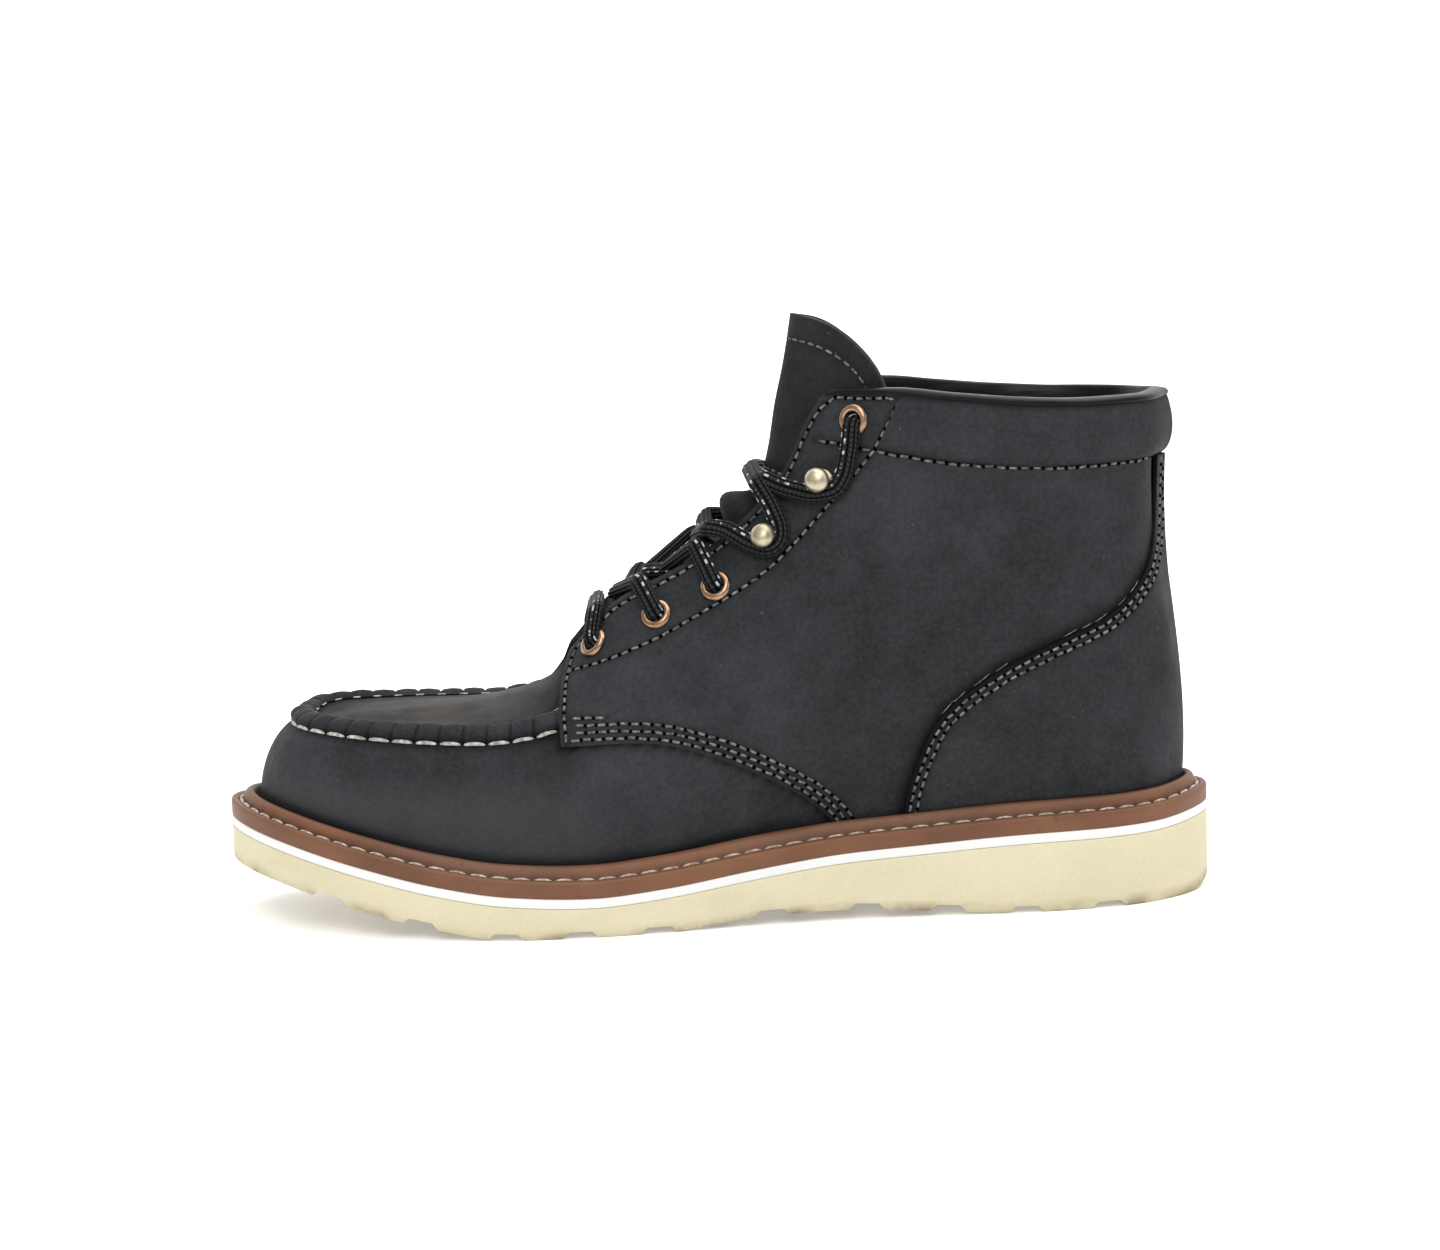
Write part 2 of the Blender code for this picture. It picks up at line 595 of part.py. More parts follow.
def build_roll():
    """Raised seam round the toe plug: a half-round roll that follows the seam line."""
    half = stations(0.0, ROLL_END)
    rows = []
    for at in [-place for place in half[:0:-1]] + half:
        foot, seam, top, _ = meridian(at)
        below = 1 - 0.5 * ROLL_WIDTH / np.linalg.norm(seam - foot)
        above = 1 + 0.5 * ROLL_WIDTH / np.linalg.norm(top - seam)
        base = [skin(at, up) + ROLL_GAP * skin_normal(at, up) for up in (below, 1.0, above)]
        out = skin_normal(at, below) + skin_normal(at, above)
        out /= np.linalg.norm(out)
        arch = []
        for turn in np.linspace(0, math.pi, 7):
            share = 0.5 - 0.5 * math.cos(turn)
            arch.append(base[0] * (1 - share) + base[2] * share + out * (0.4 + ROLL_HEIGHT * math.sin(turn)))
        rows.append(base[::-1] + arch)
    add_object("moc_seam", loft(rows, ring=True, caps=True), BLACK_LEATHER)


def build_tongue():
    """Curved sheet under the throat that stands up past the collar, its sides bent back round the leg."""
    read = [monotone(TONGUE, column) for column in range(1, 5)]
    rows = []
    for share in np.linspace(0, 1, TONGUE_ROWS):
        row = []
        for across in np.linspace(1, -1, TONGUE_COLUMNS):
            here = share * (1 - TONGUE_CORNER * across ** 4)
            x, z, half, fall = (column(here) for column in read)
            ahead = np.array([column(here + 0.01) - column(here - 0.01) for column in read[:2]])
            ahead /= np.linalg.norm(ahead)
            drop = fall * across ** 2
            row.append((x - ahead[1] * drop, middle(x) + half * across, z + ahead[0] * drop))
        rows.append(row)
    tongue = add_object("tongue", loft(rows), BLACK_LEATHER)
    add_shell(tongue, TONGUE_THICK, outward=False)


# Fittings and laces


def turned(name, profile, coat, closed):
    """Profile in the x, z plane turned about z."""
    bm = bmesh.new()
    verts = [bm.verts.new((x * MM, 0, z * MM)) for x, z in profile]
    for i in range(len(verts) if closed else len(verts) - 1):
        bm.edges.new((verts[i], verts[(i + 1) % len(verts)]))
    mesh = bpy.data.meshes.new(name)
    bm.to_mesh(mesh)
    bm.free()
    made = bpy.data.objects.new(name, mesh)
    BOOT.objects.link(made)
    mesh.materials.append(coat)
    screw = made.modifiers.new("turn", "SCREW")
    screw.steps = TURN_STEPS
    screw.render_steps = TURN_STEPS
    screw.use_merge_vertices = True
    screw.merge_threshold = 0.00001
    screw.use_smooth_shade = True
    return made


def build_fittings():
    kinds = (("eyelet", EYELETS, EYELET_SECTION, COPPER, True),
             ("lace_stud", STUDS, STUD_SECTION, BRASS, False))
    for side, label in ((LATERAL, "lateral"), (MEDIAL, "medial")):
        for kind, places, profile, coat, closed in kinds:
            for number, (x, z, seat) in enumerate(places, 1):
                fitting = turned(f"{kind}_{label}_{number}", profile, coat, closed)
                place = facing(*on_skin(side, x, z), QUARTER_TOP + seat)
                place.translation *= MM
                fitting.matrix_world = place


def throat_spot(side, x, z):
    """Centre of a lace where it passes over the throat edge beside a fitting."""
    places = np.linspace(THROAT_END, COLLAR_CORNER, 80)
    at = side * min(places, key=lambda place: np.hypot(*(skin(place, 2.0)[[0, 2]] - (x, z))))
    edge = skin(side * (abs(at) + 0.01), 2.0) - skin(side * (abs(at) - 0.01), 2.0)
    ahead = np.array([edge[2], 0.0, -edge[0]]) / np.hypot(edge[0], edge[2])
    normal = skin_normal(at, 2.0)
    lift = ahead + normal
    return skin(at, 2.0) + QUARTER_TOP * normal + LACE_LIFT * lift / np.linalg.norm(lift)


def lace_run(name, points):
    """Round cord through a few points."""
    curve = bpy.data.curves.new(name, "CURVE")
    curve.dimensions = "3D"
    curve.bevel_depth = LACE / 2 * MM
    curve.bevel_resolution = 1
    curve.use_fill_caps = True
    path = smooth_run(points, 2) + [np.array(points[-1], float)]
    spline = curve.splines.new("POLY")
    spline.points.add(len(path) - 1)
    for spot, point in zip(spline.points, path):
        spot.co = (*(point * MM), 1.0)
    source = bpy.data.objects.new(name, curve)
    CUTTERS.objects.link(source)
    mesh = bpy.data.meshes.new_from_object(source.evaluated_get(bpy.context.evaluated_depsgraph_get()))
    bpy.data.objects.remove(source)
    bm = bmesh.new()
    bm.from_mesh(mesh)
    bmesh.ops.remove_doubles(bm, verts=bm.verts, dist=0.000001)
    bmesh.ops.recalc_face_normals(bm, faces=bm.faces)
    bm.to_mesh(mesh)
    bm.free()
    mesh.materials.clear()
    mesh.materials.append(LACE_CORD)
    return bpy.data.objects.new(name, mesh)


def sagged(start, end):
    """Middle of a crossing, drawn back towards the tongue."""
    slope = math.radians(LACE_SLOPE)
    return 0.5 * (start + end) - LACE_SAG * np.array([math.sin(slope), 0.0, math.cos(slope)])


def build_laces():
    """Bar over the lowest eyelets, the cross rows above it and the runs into the top eyelets."""
    rows = EYELETS[:3] + STUDS
    spots = {side: [throat_spot(side, x, z) for x, z, _ in rows] for side in (LATERAL, MEDIAL)}
    runs = []
    for low in range(len(rows) - 1):
        for side in (LATERAL, MEDIAL):
            start, end = spots[side][low], spots[-side][low + 1]
            runs.append(lace_run(f"lace_cross_{low + 1}", (start, sagged(start, end), end)))
    for side in (LATERAL, MEDIAL):
        start = spots[side][-1]
        path = [start]
        for x, z in LACE_TOP_RUN:
            point, normal = on_skin(side, x, z)
            path.append(point + normal * (QUARTER_TOP + LACE_LIFT))
        runs.append(lace_run("lace_top", path))
    start, end = spots[LATERAL][0], spots[MEDIAL][0]
    bar = lace_run("laces", (start, sagged(start, end), end))
    BOOT.objects.link(bar)
    group = bpy.data.collections.new("lace_runs")
    CUTTERS.children.link(group)
    for run in runs:
        group.objects.link(as_cutter(run))
    join = bar.modifiers.new("join", "BOOLEAN")
    join.operation = "UNION"
    join.operand_type = "COLLECTION"
    join.collection = group
    join.solver = "EXACT"


HOLES = hole_cutter()
build_sole()
build_welt()
build_upper(HOLES)
build_quarters(HOLES)
build_counter()
build_cuff()
build_binding()
build_roll()
build_tongue()
build_fittings()
build_laces()
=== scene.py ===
"""Looks of a six-inch moc-toe work boot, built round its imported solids.

+X runs to the toe, +Y to the outer (lateral) side, +Z up from the floor.
Sizes of the boot are in millimetres, and its meshes are scaled to metres as they are made.
"""
import math

import bmesh
import bpy
import numpy as np
from mathutils import Matrix, Vector
from mathutils.kdtree import KDTree


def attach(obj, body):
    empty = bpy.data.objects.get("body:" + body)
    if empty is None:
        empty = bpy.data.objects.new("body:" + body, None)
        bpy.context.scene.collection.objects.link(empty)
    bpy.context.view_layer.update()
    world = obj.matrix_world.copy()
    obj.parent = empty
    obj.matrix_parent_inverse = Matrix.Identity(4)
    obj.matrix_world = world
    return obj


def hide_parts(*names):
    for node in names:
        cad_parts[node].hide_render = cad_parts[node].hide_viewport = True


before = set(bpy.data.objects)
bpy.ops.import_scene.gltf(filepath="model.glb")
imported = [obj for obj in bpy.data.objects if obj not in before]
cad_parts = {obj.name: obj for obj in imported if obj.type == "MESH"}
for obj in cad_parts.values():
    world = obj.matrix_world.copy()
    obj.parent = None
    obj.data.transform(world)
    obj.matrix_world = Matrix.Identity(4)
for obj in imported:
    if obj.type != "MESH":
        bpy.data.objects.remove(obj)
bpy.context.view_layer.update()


# Camera: a long lens on the outer side of the boot, a little above it and
# turned slightly to the toe. The picture is rolled by a degree or two.
VIEW_TARGET = (-0.0012, 0.0, 0.0865)
VIEW_DISTANCE = 1.10
VIEW_RISE, VIEW_YAW, VIEW_ROLL = math.radians(7.5), math.radians(1.5), math.radians(-1.7)
VIEW_LENS, VIEW_SENSOR, VIEW_CLIP = 87.725, 36.0, 0.01
PICTURE_WIDE = 1440
VIEW_SHIFT = (1.5 / PICTURE_WIDE, 1.0 / PICTURE_WIDE)

back = Vector((math.sin(VIEW_YAW) * math.cos(VIEW_RISE), math.cos(VIEW_YAW) * math.cos(VIEW_RISE),
               math.sin(VIEW_RISE)))
level = (-back).cross(Vector((0, 0, 1))).normalized()
upright = level.cross(-back)
across = math.cos(VIEW_ROLL) * level + math.sin(VIEW_ROLL) * upright
rising = math.cos(VIEW_ROLL) * upright - math.sin(VIEW_ROLL) * level
stand = Vector(VIEW_TARGET) + VIEW_DISTANCE * back
bpy.ops.object.camera_add()
camera = bpy.context.object
camera.name = "photo_camera"
camera.matrix_world = Matrix((*zip(across, rising, back, stand), (0, 0, 0, 1)))
camera.data.lens = VIEW_LENS
camera.data.sensor_width = VIEW_SENSOR
camera.data.sensor_fit = "HORIZONTAL"
camera.data.shift_x, camera.data.shift_y = VIEW_SHIFT
camera.data.clip_start = VIEW_CLIP
bpy.context.scene.camera = camera
bpy.context.scene.view_settings.view_transform = "Standard"


# Studio: a pale floor that sweeps up into a softly glowing backdrop behind the boot,
# large soft lamps above and round the boot, and an even pale surround, all in metres.
FLOOR_FRONT, FLOOR_BACK, SWEEP_RADIUS, SWEEP_TOP, FLOOR_WIDE = 3.0, -1.5, 0.9, 3.5, 8.0
FLOOR_COLOUR, FLOOR_ROUGH, FLOOR_SHINE = (0.90, 0.90, 0.90), 0.8, 0.1
# The glow sets in on the floor in front of the boot and is faint under it: painted light that lifts the
# boot's shadow and lights the boot from below.
FLOOR_AND_BACKDROP_GLOW, GLOW_FROM = 0.7, (0.70, -1.2)     # strength, and the y where it sets in and is full
SURROUND = 0.55
# Lamps: name, place, size across, power in watts.
LAMPS = (("key_lamp", (0.30, 1.30, 1.25), 1.0, 15.0),
         ("top_lamp", (-0.30, -0.10, 1.50), 1.6, 25.0),
         ("heel_lamp", (-1.40, 0.60, 0.80), 0.8, 2.0))
LAMP_TARGET = (0, 0, 0.07)

bpy.ops.object.select_all(action="DESELECT")
bpy.ops.mesh.primitive_grid_add(x_subdivisions=2, y_subdivisions=90, size=2)
floor = bpy.context.object
floor.name = "studio_floor"
flat_run, bend_run = FLOOR_FRONT - FLOOR_BACK, SWEEP_RADIUS * math.pi / 2
for vertex in floor.data.vertices:
    run = (0.5 - 0.5 * vertex.co.y) * (flat_run + bend_run + SWEEP_TOP)
    turn = min(max((run - flat_run) / SWEEP_RADIUS, 0.0), math.pi / 2)
    wall = max(run - flat_run - bend_run, 0.0)
    vertex.co = (vertex.co.x * FLOOR_WIDE, FLOOR_FRONT - min(run, flat_run) - SWEEP_RADIUS * math.sin(turn),
                 SWEEP_RADIUS * (1 - math.cos(turn)) + wall)
floor.data.shade_smooth()
floor_paint = bpy.data.materials.new("pale_floor")
floor_paint.use_nodes = True
floor_nodes, floor_links = floor_paint.node_tree.nodes, floor_paint.node_tree.links
floor_shader = floor_nodes["Principled BSDF"]
floor_place, floor_depth, floor_glow = (floor_nodes.new("ShaderNode" + kind)
                                        for kind in ("TexCoord", "SeparateXYZ", "MapRange"))
# Emission of floor and backdrop; under the boot it is painted light.
for socket, value in (("Base Color", (*FLOOR_COLOUR, 1)), ("Roughness", FLOOR_ROUGH),
                      ("Specular IOR Level", FLOOR_SHINE), ("Emission Strength", FLOOR_AND_BACKDROP_GLOW)):
    floor_shader.inputs[socket].default_value = value
floor_glow.inputs["From Min"].default_value, floor_glow.inputs["From Max"].default_value = GLOW_FROM
floor_links.new(floor_place.outputs["Object"], floor_depth.inputs[0])
floor_links.new(floor_depth.outputs["Y"], floor_glow.inputs["Value"])
floor_links.new(floor_glow.outputs[0], floor_shader.inputs["Emission Color"])
floor.data.materials.append(floor_paint)
for name, place, size, power in LAMPS:
    bpy.ops.object.light_add(type="AREA", location=place)
    lamp = bpy.context.object
    lamp.name = name
    lamp.data.size = size
    lamp.data.energy = power
    lamp.rotation_mode = "QUATERNION"
    lamp.rotation_quaternion = (Vector(LAMP_TARGET) - Vector(place)).to_track_quat("-Z", "Y")
surround = bpy.data.worlds.new("studio_surround")
bpy.context.scene.world = surround
surround.use_nodes = True
surround.node_tree.nodes["Background"].inputs["Color"].default_value = (1, 1, 1, 1)
surround.node_tree.nodes["Background"].inputs["Strength"].default_value = SURROUND


# Outsole: a cream foam-rubber wedge, moulded in one piece with cross grooves in its tread.
# Its side is smooth, and darker along the lower edge and in the grooves with dirt and painted shade.
MM = 0.001                       # metres
GAP = 0.3                        # between pieces that meet
LATERAL, MEDIAL = 1, -1
TOE_TIP, HEEL_TIP = (154.0, -7.0), (-154.0, 0.0)
# Plan of the sole: x, lateral y, medial y.
SOLE_PLAN = ((148, 12.0, -25.0), (134, 28.0, -39.0), (112, 42.0, -48.5), (85, 51.0, -53.0),
             (58, 54.5, -53.0), (28, 52.0, -46.5), (-5, 46.0, -39.5), (-40, 41.5, -36.0),
             (-75, 40.0, -37.0), (-105, 38.5, -37.0), (-130, 31.5, -31.0), (-147, 17.0, -17.0))
# Side of the sole: x, tread z, top z.
SOLE_SIDE = ((154, 18.0, 28.8), (136, 14.3, 24.6), (111, 8.2, 18.6), (86, 2.8, 13.2), (66, 0.0, 10.3),
             (40, 0.0, 9.0), (20, 0.0, 10.4), (-10, 2.6, 14.5), (-35, 3.2, 17.6), (-60, 1.9, 19.3),
             (-92, 0.0, 21.3), (-135, 0.0, 22.4), (-147, 0.0, 23.6), (-154, 3.0, 24.4))
GROOVE_X = (121, 93, 67, 44.5, 20.6, -14, -43, -68, -92, -118)
GROOVE_MOUTH, GROOVE_ROOT, GROOVE_DEPTH, GROOVE_SPAN = 11.5, 7.0, 2.1, 140.0
SLOPE_REACH = 2                  # either side of a groove, to read the slope of the tread
OUTSOLE_ROUND = (0.9, 0.4)       # radius of the lower and the upper edge
TREAD_DIRT_AND_SHADE = 1.9                 # how far dirt and painted shade climb from the tread
CREAM_DARK, CREAM_PALE = (0.535, 0.484, 0.326), (0.613, 0.560, 0.399)
CREAM_SMUDGE, CREAM_DIRT_AND_SHADE = (0.46, 0.40, 0.26), (0.20, 0.145, 0.075)


def hermite(start, end, lead_out, lead_in, u):
    """Point a share u along a curve, from its two ends and the leads at them."""
    return (start * (1 + 2 * u) * (1 - u) ** 2 + end * u * u * (3 - 2 * u)
            + lead_out * u * (1 - u) ** 2 - lead_in * u * u * (1 - u))


def monotone(table, column):
    """Reader of one column of a table by its first column, smooth and with no overshoot."""
    rows = np.array(sorted((row[0], row[column]) for row in table), float)
    x, y = rows[:, 0], rows[:, 1]
    step = np.diff(x)
    slope = np.diff(y) / step
    lead = np.concatenate([slope[:1], np.zeros(len(x) - 2), slope[-1:]])
    for i in range(1, len(x) - 1):
        if slope[i - 1] * slope[i] > 0:
            first, second = 2 * step[i] + step[i - 1], step[i] + 2 * step[i - 1]
            lead[i] = (first + second) / (first / slope[i - 1] + second / slope[i])

    def read(at):
        at = np.clip(at, x[0], x[-1])
        i = np.clip(np.searchsorted(x, at) - 1, 0, len(step) - 1)
        return hermite(y[i], y[i + 1], step[i] * lead[i], step[i] * lead[i + 1], (at - x[i]) / step[i])
    return read


def closed_curve(points, per_span):
    """Smooth closed curve through points, as a dense polygon."""
    p = np.array(points, float)
    count = len(p)
    run = np.roll(p, -1, 0) - p
    length = np.linalg.norm(run, axis=1)
    matrix = np.zeros((count, count))
    right = np.zeros_like(p)
    for i in range(count):
        before, after = length[i - 1], length[i]
        matrix[i, i - 1] += 1 / before
        matrix[i, i] += 2 / before + 2 / after
        matrix[i, (i + 1) % count] += 1 / after
        right[i] = 3 * (run[i - 1] / before ** 2 + run[i] / after ** 2)
    slope = np.linalg.solve(matrix, right)
    u = np.arange(per_span)[:, None] / per_span
    return np.concatenate([hermite(p[i], p[(i + 1) % count], length[i] * slope[i],
                                   length[i] * slope[(i + 1) % count], u) for i in range(count)])


def run_along(points):
    """Length of the way to each point of a line."""
    return np.concatenate([[0], np.cumsum(np.linalg.norm(np.diff(points, axis=0), axis=1))])


def sole_edge(per_span=48):
    """Plan of the sole's edge by place: 0 at the toe, 1 at the heel, minus on the medial side."""
    ring = closed_curve([TOE_TIP] + [(x, y) for x, y, _ in SOLE_PLAN] + [HEEL_TIP]
                        + [(x, y) for x, _, y in reversed(SOLE_PLAN)], per_span)
    heel = (len(SOLE_PLAN) + 1) * per_span
    table = []
    for side, line in ((LATERAL, ring[:heel + 1]), (MEDIAL, np.vstack([ring[heel:], ring[:1]])[::-1])):
        run = run_along(line)
        table.append(np.column_stack([side * run / run[-1], line]))
    return np.vstack([table[1][:0:-1], table[0]])


EDGE = sole_edge()
HALVES = (EDGE[EDGE[:, 0] <= 0], EDGE[EDGE[:, 0] >= 0][::-1])
tread_z, outsole_z = monotone(SOLE_SIDE, 1), monotone(SOLE_SIDE, 2)


def edge_point(at):
    """Point on the sole's edge by place; places past 1 run on round the heel."""
    place = (np.asarray(at, float) + 1) % 2 - 1
    return np.stack([np.interp(place, EDGE[:, 0], EDGE[:, k]) for k in (1, 2)], axis=-1)


def inward(at, reach=0.01):
    """Unit inward normal of the sole's edge."""
    along = edge_point(at + reach) - edge_point(at - reach)
    normal = np.stack([-along[..., 1], along[..., 0]], axis=-1)
    return normal / np.linalg.norm(normal, axis=-1, keepdims=True)


def outline(at, inset=0.0):
    """Point on the sole's edge, moved inward."""
    return edge_point(at) + np.asarray(inset)[..., None] * inward(at)


def corners_of(made):
    """Vertices of a piece, in metres."""
    flat = np.empty(3 * len(made.data.vertices))
    made.data.vertices.foreach_get("co", flat)
    return flat.reshape(-1, 3)


def put_corners(made, points):
    """Move the vertices of a piece to points in millimetres."""
    made.data.vertices.foreach_set("co", (points * MM).ravel())
    made.data.update()


def grid_piece(name, columns, rows, place):
    """Grid primitive whose vertices go to place(u, v), in millimetres; u and v run from 0 to 1."""
    bpy.ops.object.select_all(action="DESELECT")
    bpy.ops.mesh.primitive_grid_add(x_subdivisions=columns, y_subdivisions=rows, size=2)
    made = bpy.context.object
    made.name = made.data.name = name
    share = corners_of(made) * 0.5 + 0.5
    put_corners(made, place(share[:, 0], share[:, 1]))
    return made


def only(made):
    """Make a piece the only one selected."""
    bpy.ops.object.select_all(action="DESELECT")
    made.select_set(True)
    bpy.context.view_layer.objects.active = made


def weld(made, outward=True, distance=0.02):
    """Merge a piece's doubled vertices and turn its faces outward."""
    only(made)
    bpy.ops.object.mode_set(mode="EDIT")
    bpy.ops.mesh.select_all(action="SELECT")
    bpy.ops.mesh.remove_doubles(threshold=distance * MM)
    if outward:
        bpy.ops.mesh.normals_make_consistent(inside=False)
    bpy.ops.object.mode_set(mode="OBJECT")


def joined(name, *pieces):
    """Join pieces into the first one."""
    only(pieces[0])
    for piece in pieces[1:]:
        piece.select_set(True)
    bpy.ops.object.join()
    pieces[0].name = pieces[0].data.name = name
    return pieces[0]


def finish_with(made, kind, **settings):
    """Add a modifier and apply it."""
    only(made)
    modifier = made.modifiers.new(kind.lower(), kind)
    for key, value in settings.items():
        setattr(modifier, key, value)
    bpy.ops.object.modifier_apply(modifier=modifier.name)


def smooth(made, degrees=40):
    """Shade a piece smooth, save at edges that turn by more than an angle."""
    only(made)
    bpy.ops.object.shade_smooth_by_angle(angle=math.radians(degrees))


def sole_slab(name, low, high, rounds, columns=220, side_rows=12, cap_rows=16):
    """Layer of the sole between two heights, its side rounded into both faces."""
    def wall(u, v):
        """Down the side: a quarter turn off the top, a straight run and a quarter turn to the bottom."""
        turn, dip = (np.clip(4 * v - start, 0, 1) * math.pi / 2 for start in (0, 3))
        straight = np.clip(2 * v - 0.5, 0, 1)
        plan = outline(2 * u - 1, rounds[1] * (1 - np.sin(turn)) + rounds[0] * (1 - np.cos(dip)))
        level = (1 - straight) * (high(plan[:, 0]) - rounds[1]) + straight * (low(plan[:, 0]) + rounds[0])
        return np.column_stack([plan, level + rounds[1] * np.cos(turn) - rounds[0] * np.sin(dip)])

    def cap(height, inset):
        """Across a face, from the lateral edge to the medial one."""
        def place(u, v):
            lateral, medial = (outline(side * u, inset) for side in (LATERAL, MEDIAL))
            plan = lateral * (1 - v)[:, None] + medial * v[:, None]
            return np.column_stack([plan, height(plan[:, 0])])
        return place
    made = joined(name, grid_piece(name, 2 * columns, side_rows, wall),
                  grid_piece("lower_face", columns, cap_rows, cap(low, rounds[0])),
                  grid_piece("upper_face", columns, cap_rows, cap(high, rounds[1])))
    weld(made)
    return made


outsole = sole_slab("outsole_wedge", tread_z, outsole_z, OUTSOLE_ROUND)
groove_pieces = []
for groove_x in GROOVE_X:
    slope = math.atan2(tread_z(groove_x + SLOPE_REACH) - tread_z(groove_x - SLOPE_REACH), 2 * SLOPE_REACH)
    bpy.ops.object.select_all(action="DESELECT")
    bpy.ops.mesh.primitive_cube_add(size=1)
    groove = bpy.context.object
    for vertex in groove.data.vertices:
        width, depth = ((GROOVE_ROOT, GROOVE_DEPTH) if vertex.co.z > 0
                        else (2 * GROOVE_MOUTH - GROOVE_ROOT, -GROOVE_DEPTH))
        vertex.co = Vector((vertex.co.x * width, vertex.co.y * GROOVE_SPAN, depth)) * MM
    groove.data.transform(Matrix.Translation(Vector((groove_x, 0, tread_z(groove_x))) * MM)
                          @ Matrix.Rotation(-slope, 4, "Y"))
    groove_pieces.append(groove)
grooves = joined("groove_cutter", *groove_pieces)
finish_with(outsole, "BOOLEAN", operation="DIFFERENCE", object=grooves, solver="EXACT")
bpy.data.objects.remove(grooves)
smooth(outsole)


class Wire:
    """A shader socket that takes part in sums and makes further nodes in its tree."""

    def __init__(self, tree, socket):
        self.tree = tree
        self.socket = socket

    def node(self, kind, settings=None, inputs=None, output=0):
        """Add a node: its settings are set first, then the values or links of its sockets."""
        made = self.tree.nodes.new("ShaderNode" + kind)
        for key, value in (settings or {}).items():
            setattr(made, key, value)
        for key, value in (inputs or {}).items():
            if isinstance(value, Wire):
                self.tree.links.new(value.socket, made.inputs[key])
            else:
                made.inputs[key].default_value = value
        return Wire(self.tree, made.outputs[output])

    def math(self, operation, *values):
        return self.node("Math", {"operation": operation}, dict(enumerate(values)))

    def __add__(self, other):
        return self.math("ADD", self, other)

    def __sub__(self, other):
        return self.math("SUBTRACT", self, other)

    def __rsub__(self, other):
        return self.math("SUBTRACT", other, self)

    def __mul__(self, other):
        return self.math("MULTIPLY", self, other)

    __radd__ = __add__
    __rmul__ = __mul__

    def step(self, low, high):
        """0 below low, 1 above high and a smooth rise between."""
        return self.node("MapRange", {"interpolation_type": "SMOOTHSTEP"},
                         {"Value": self, "From Min": low, "From Max": high})

    def noise(self, scale, detail=3.0, roughness=0.5):
        return self.node("TexNoise", None, {"Vector": self, "Scale": scale, "Detail": detail,
                                            "Roughness": roughness})

    def part(self, axis):
        return self.node("SeparateXYZ", None, {0: self}, "XYZ".index(axis))

    def near(self, point):
        """Distance from a point."""
        return self.node("VectorMath", {"operation": "DISTANCE"}, {0: self, 1: point}, 1)

    def stretched(self, factors):
        return self.node("Mapping", None, {"Vector": self, "Scale": factors})

    def tint(self, first, second):
        """Mix two colours, or wires that hold colours, by this value."""
        shades = [value if isinstance(value, Wire) else (*value, 1) for value in (first, second)]
        return self.node("Mix", {"data_type": "RGBA"}, {0: self, 6: shades[0], 7: shades[1]}, 2)

    def folded(self):
        """Saw teeth that rise to a half and fall again with each unit."""
        return self.math("PINGPONG", self, 0.5)

    def bump(self, depth, strength=1.0):
        """Normal of a surface whose height is this value times a depth in millimetres."""
        return self.node("Bump", None, {"Height": self, "Distance": depth * MM, "Strength": strength})


class Finish:
    """A material with its shader, and the wire of its coordinates."""

    def __init__(self, name, coordinates="Object", **values):
        self.material = bpy.data.materials.new(name)
        self.material.use_nodes = True
        tree = self.material.node_tree
        self.shader = tree.nodes["Principled BSDF"]
        self.where = Wire(tree, tree.nodes.new("ShaderNodeTexCoord").outputs[coordinates])
        self.set(**values)

    def set(self, **values):
        """Set or link the shader's sockets, named with underscores."""
        for key, value in values.items():
            socket = self.shader.inputs[key.replace("_", " ")]
            if isinstance(value, Wire):
                self.where.tree.links.new(value.socket, socket)
            else:
                socket.default_value = value

    def soil_and_shade(self):
        """Dirt and painted shade kept at the vertices."""
        return self.where.node("Attribute", {"attribute_name": "soil_and_shade"}, None, 2)

    def coat(self, *pieces):
        for piece in pieces:
            piece.data.materials.clear()
            piece.data.materials.append(self.material)


def hold(piece, slot, *nodes):
    """Fix a finished piece to the boot and hide the CAD nodes that it stands for; slot is not used."""
    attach(piece, "root")
    if nodes:
        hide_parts(*nodes)


def keep_soil_and_shade(made, amounts):
    """Keep the dirt and painted shade of a piece at each vertex, for its material."""
    attribute = made.data.attributes.get("soil_and_shade") or made.data.attributes.new("soil_and_shade", "FLOAT", "POINT")
    attribute.data.foreach_set("value", np.clip(amounts, 0, 1).astype(np.float32))


def halo(away, reach, strength=1.0):
    """Amounts that fade with the distance from a run."""
    return strength * np.exp(-(away / reach) ** 2)


# Dirt and painted shade darken the sole near its tread and in its grooves.
spots = corners_of(outsole) / MM
keep_soil_and_shade(outsole, halo(spots[:, 2] - tread_z(spots[:, 0]), TREAD_DIRT_AND_SHADE))
cream = Finish("cream_foam_rubber", Roughness=0.72, Specular_IOR_Level=0.25)
cloud = cream.where.noise(22, 4).step(0.3, 0.7)
pores = cream.where.noise(900, 3).step(0.3, 0.7)
edge_dirt_and_shade = cream.soil_and_shade() * (0.25 + cream.where.noise(70, 4).step(0.40, 0.66))
smudge = cream.where.stretched((16, 16, 40)).noise(1.0, 5).step(0.60, 0.78)
body = (cloud * 0.7 + pores * 0.3).tint(CREAM_DARK, CREAM_PALE)
cream.set(Base_Color=(edge_dirt_and_shade * 0.75).tint((smudge * 0.35).tint(body, CREAM_SMUDGE), CREAM_DIRT_AND_SHADE),
          Normal=(pores + cloud).bump(0.10, 0.5))
cream.coat(outsole)
hold(outsole, "cream_rubber", "outsole")


# Midsole: a thin white foam-rubber sheet cemented between welt and outsole.
# Its edge is trimmed flush with them and shows as a clean band.
MIDSOLE_THICK, MIDSOLE_SEAT, MIDSOLE_ROUND = 2.8, 0.05, (0.35, 0.35)
MIDSOLE_WHITE, MIDSOLE_GRIME = (0.68, 0.68, 0.665), (0.55, 0.50, 0.42)


def midsole_z(x):
    """Height of the midsole's upper face."""
    return outsole_z(x) + GAP + MIDSOLE_THICK


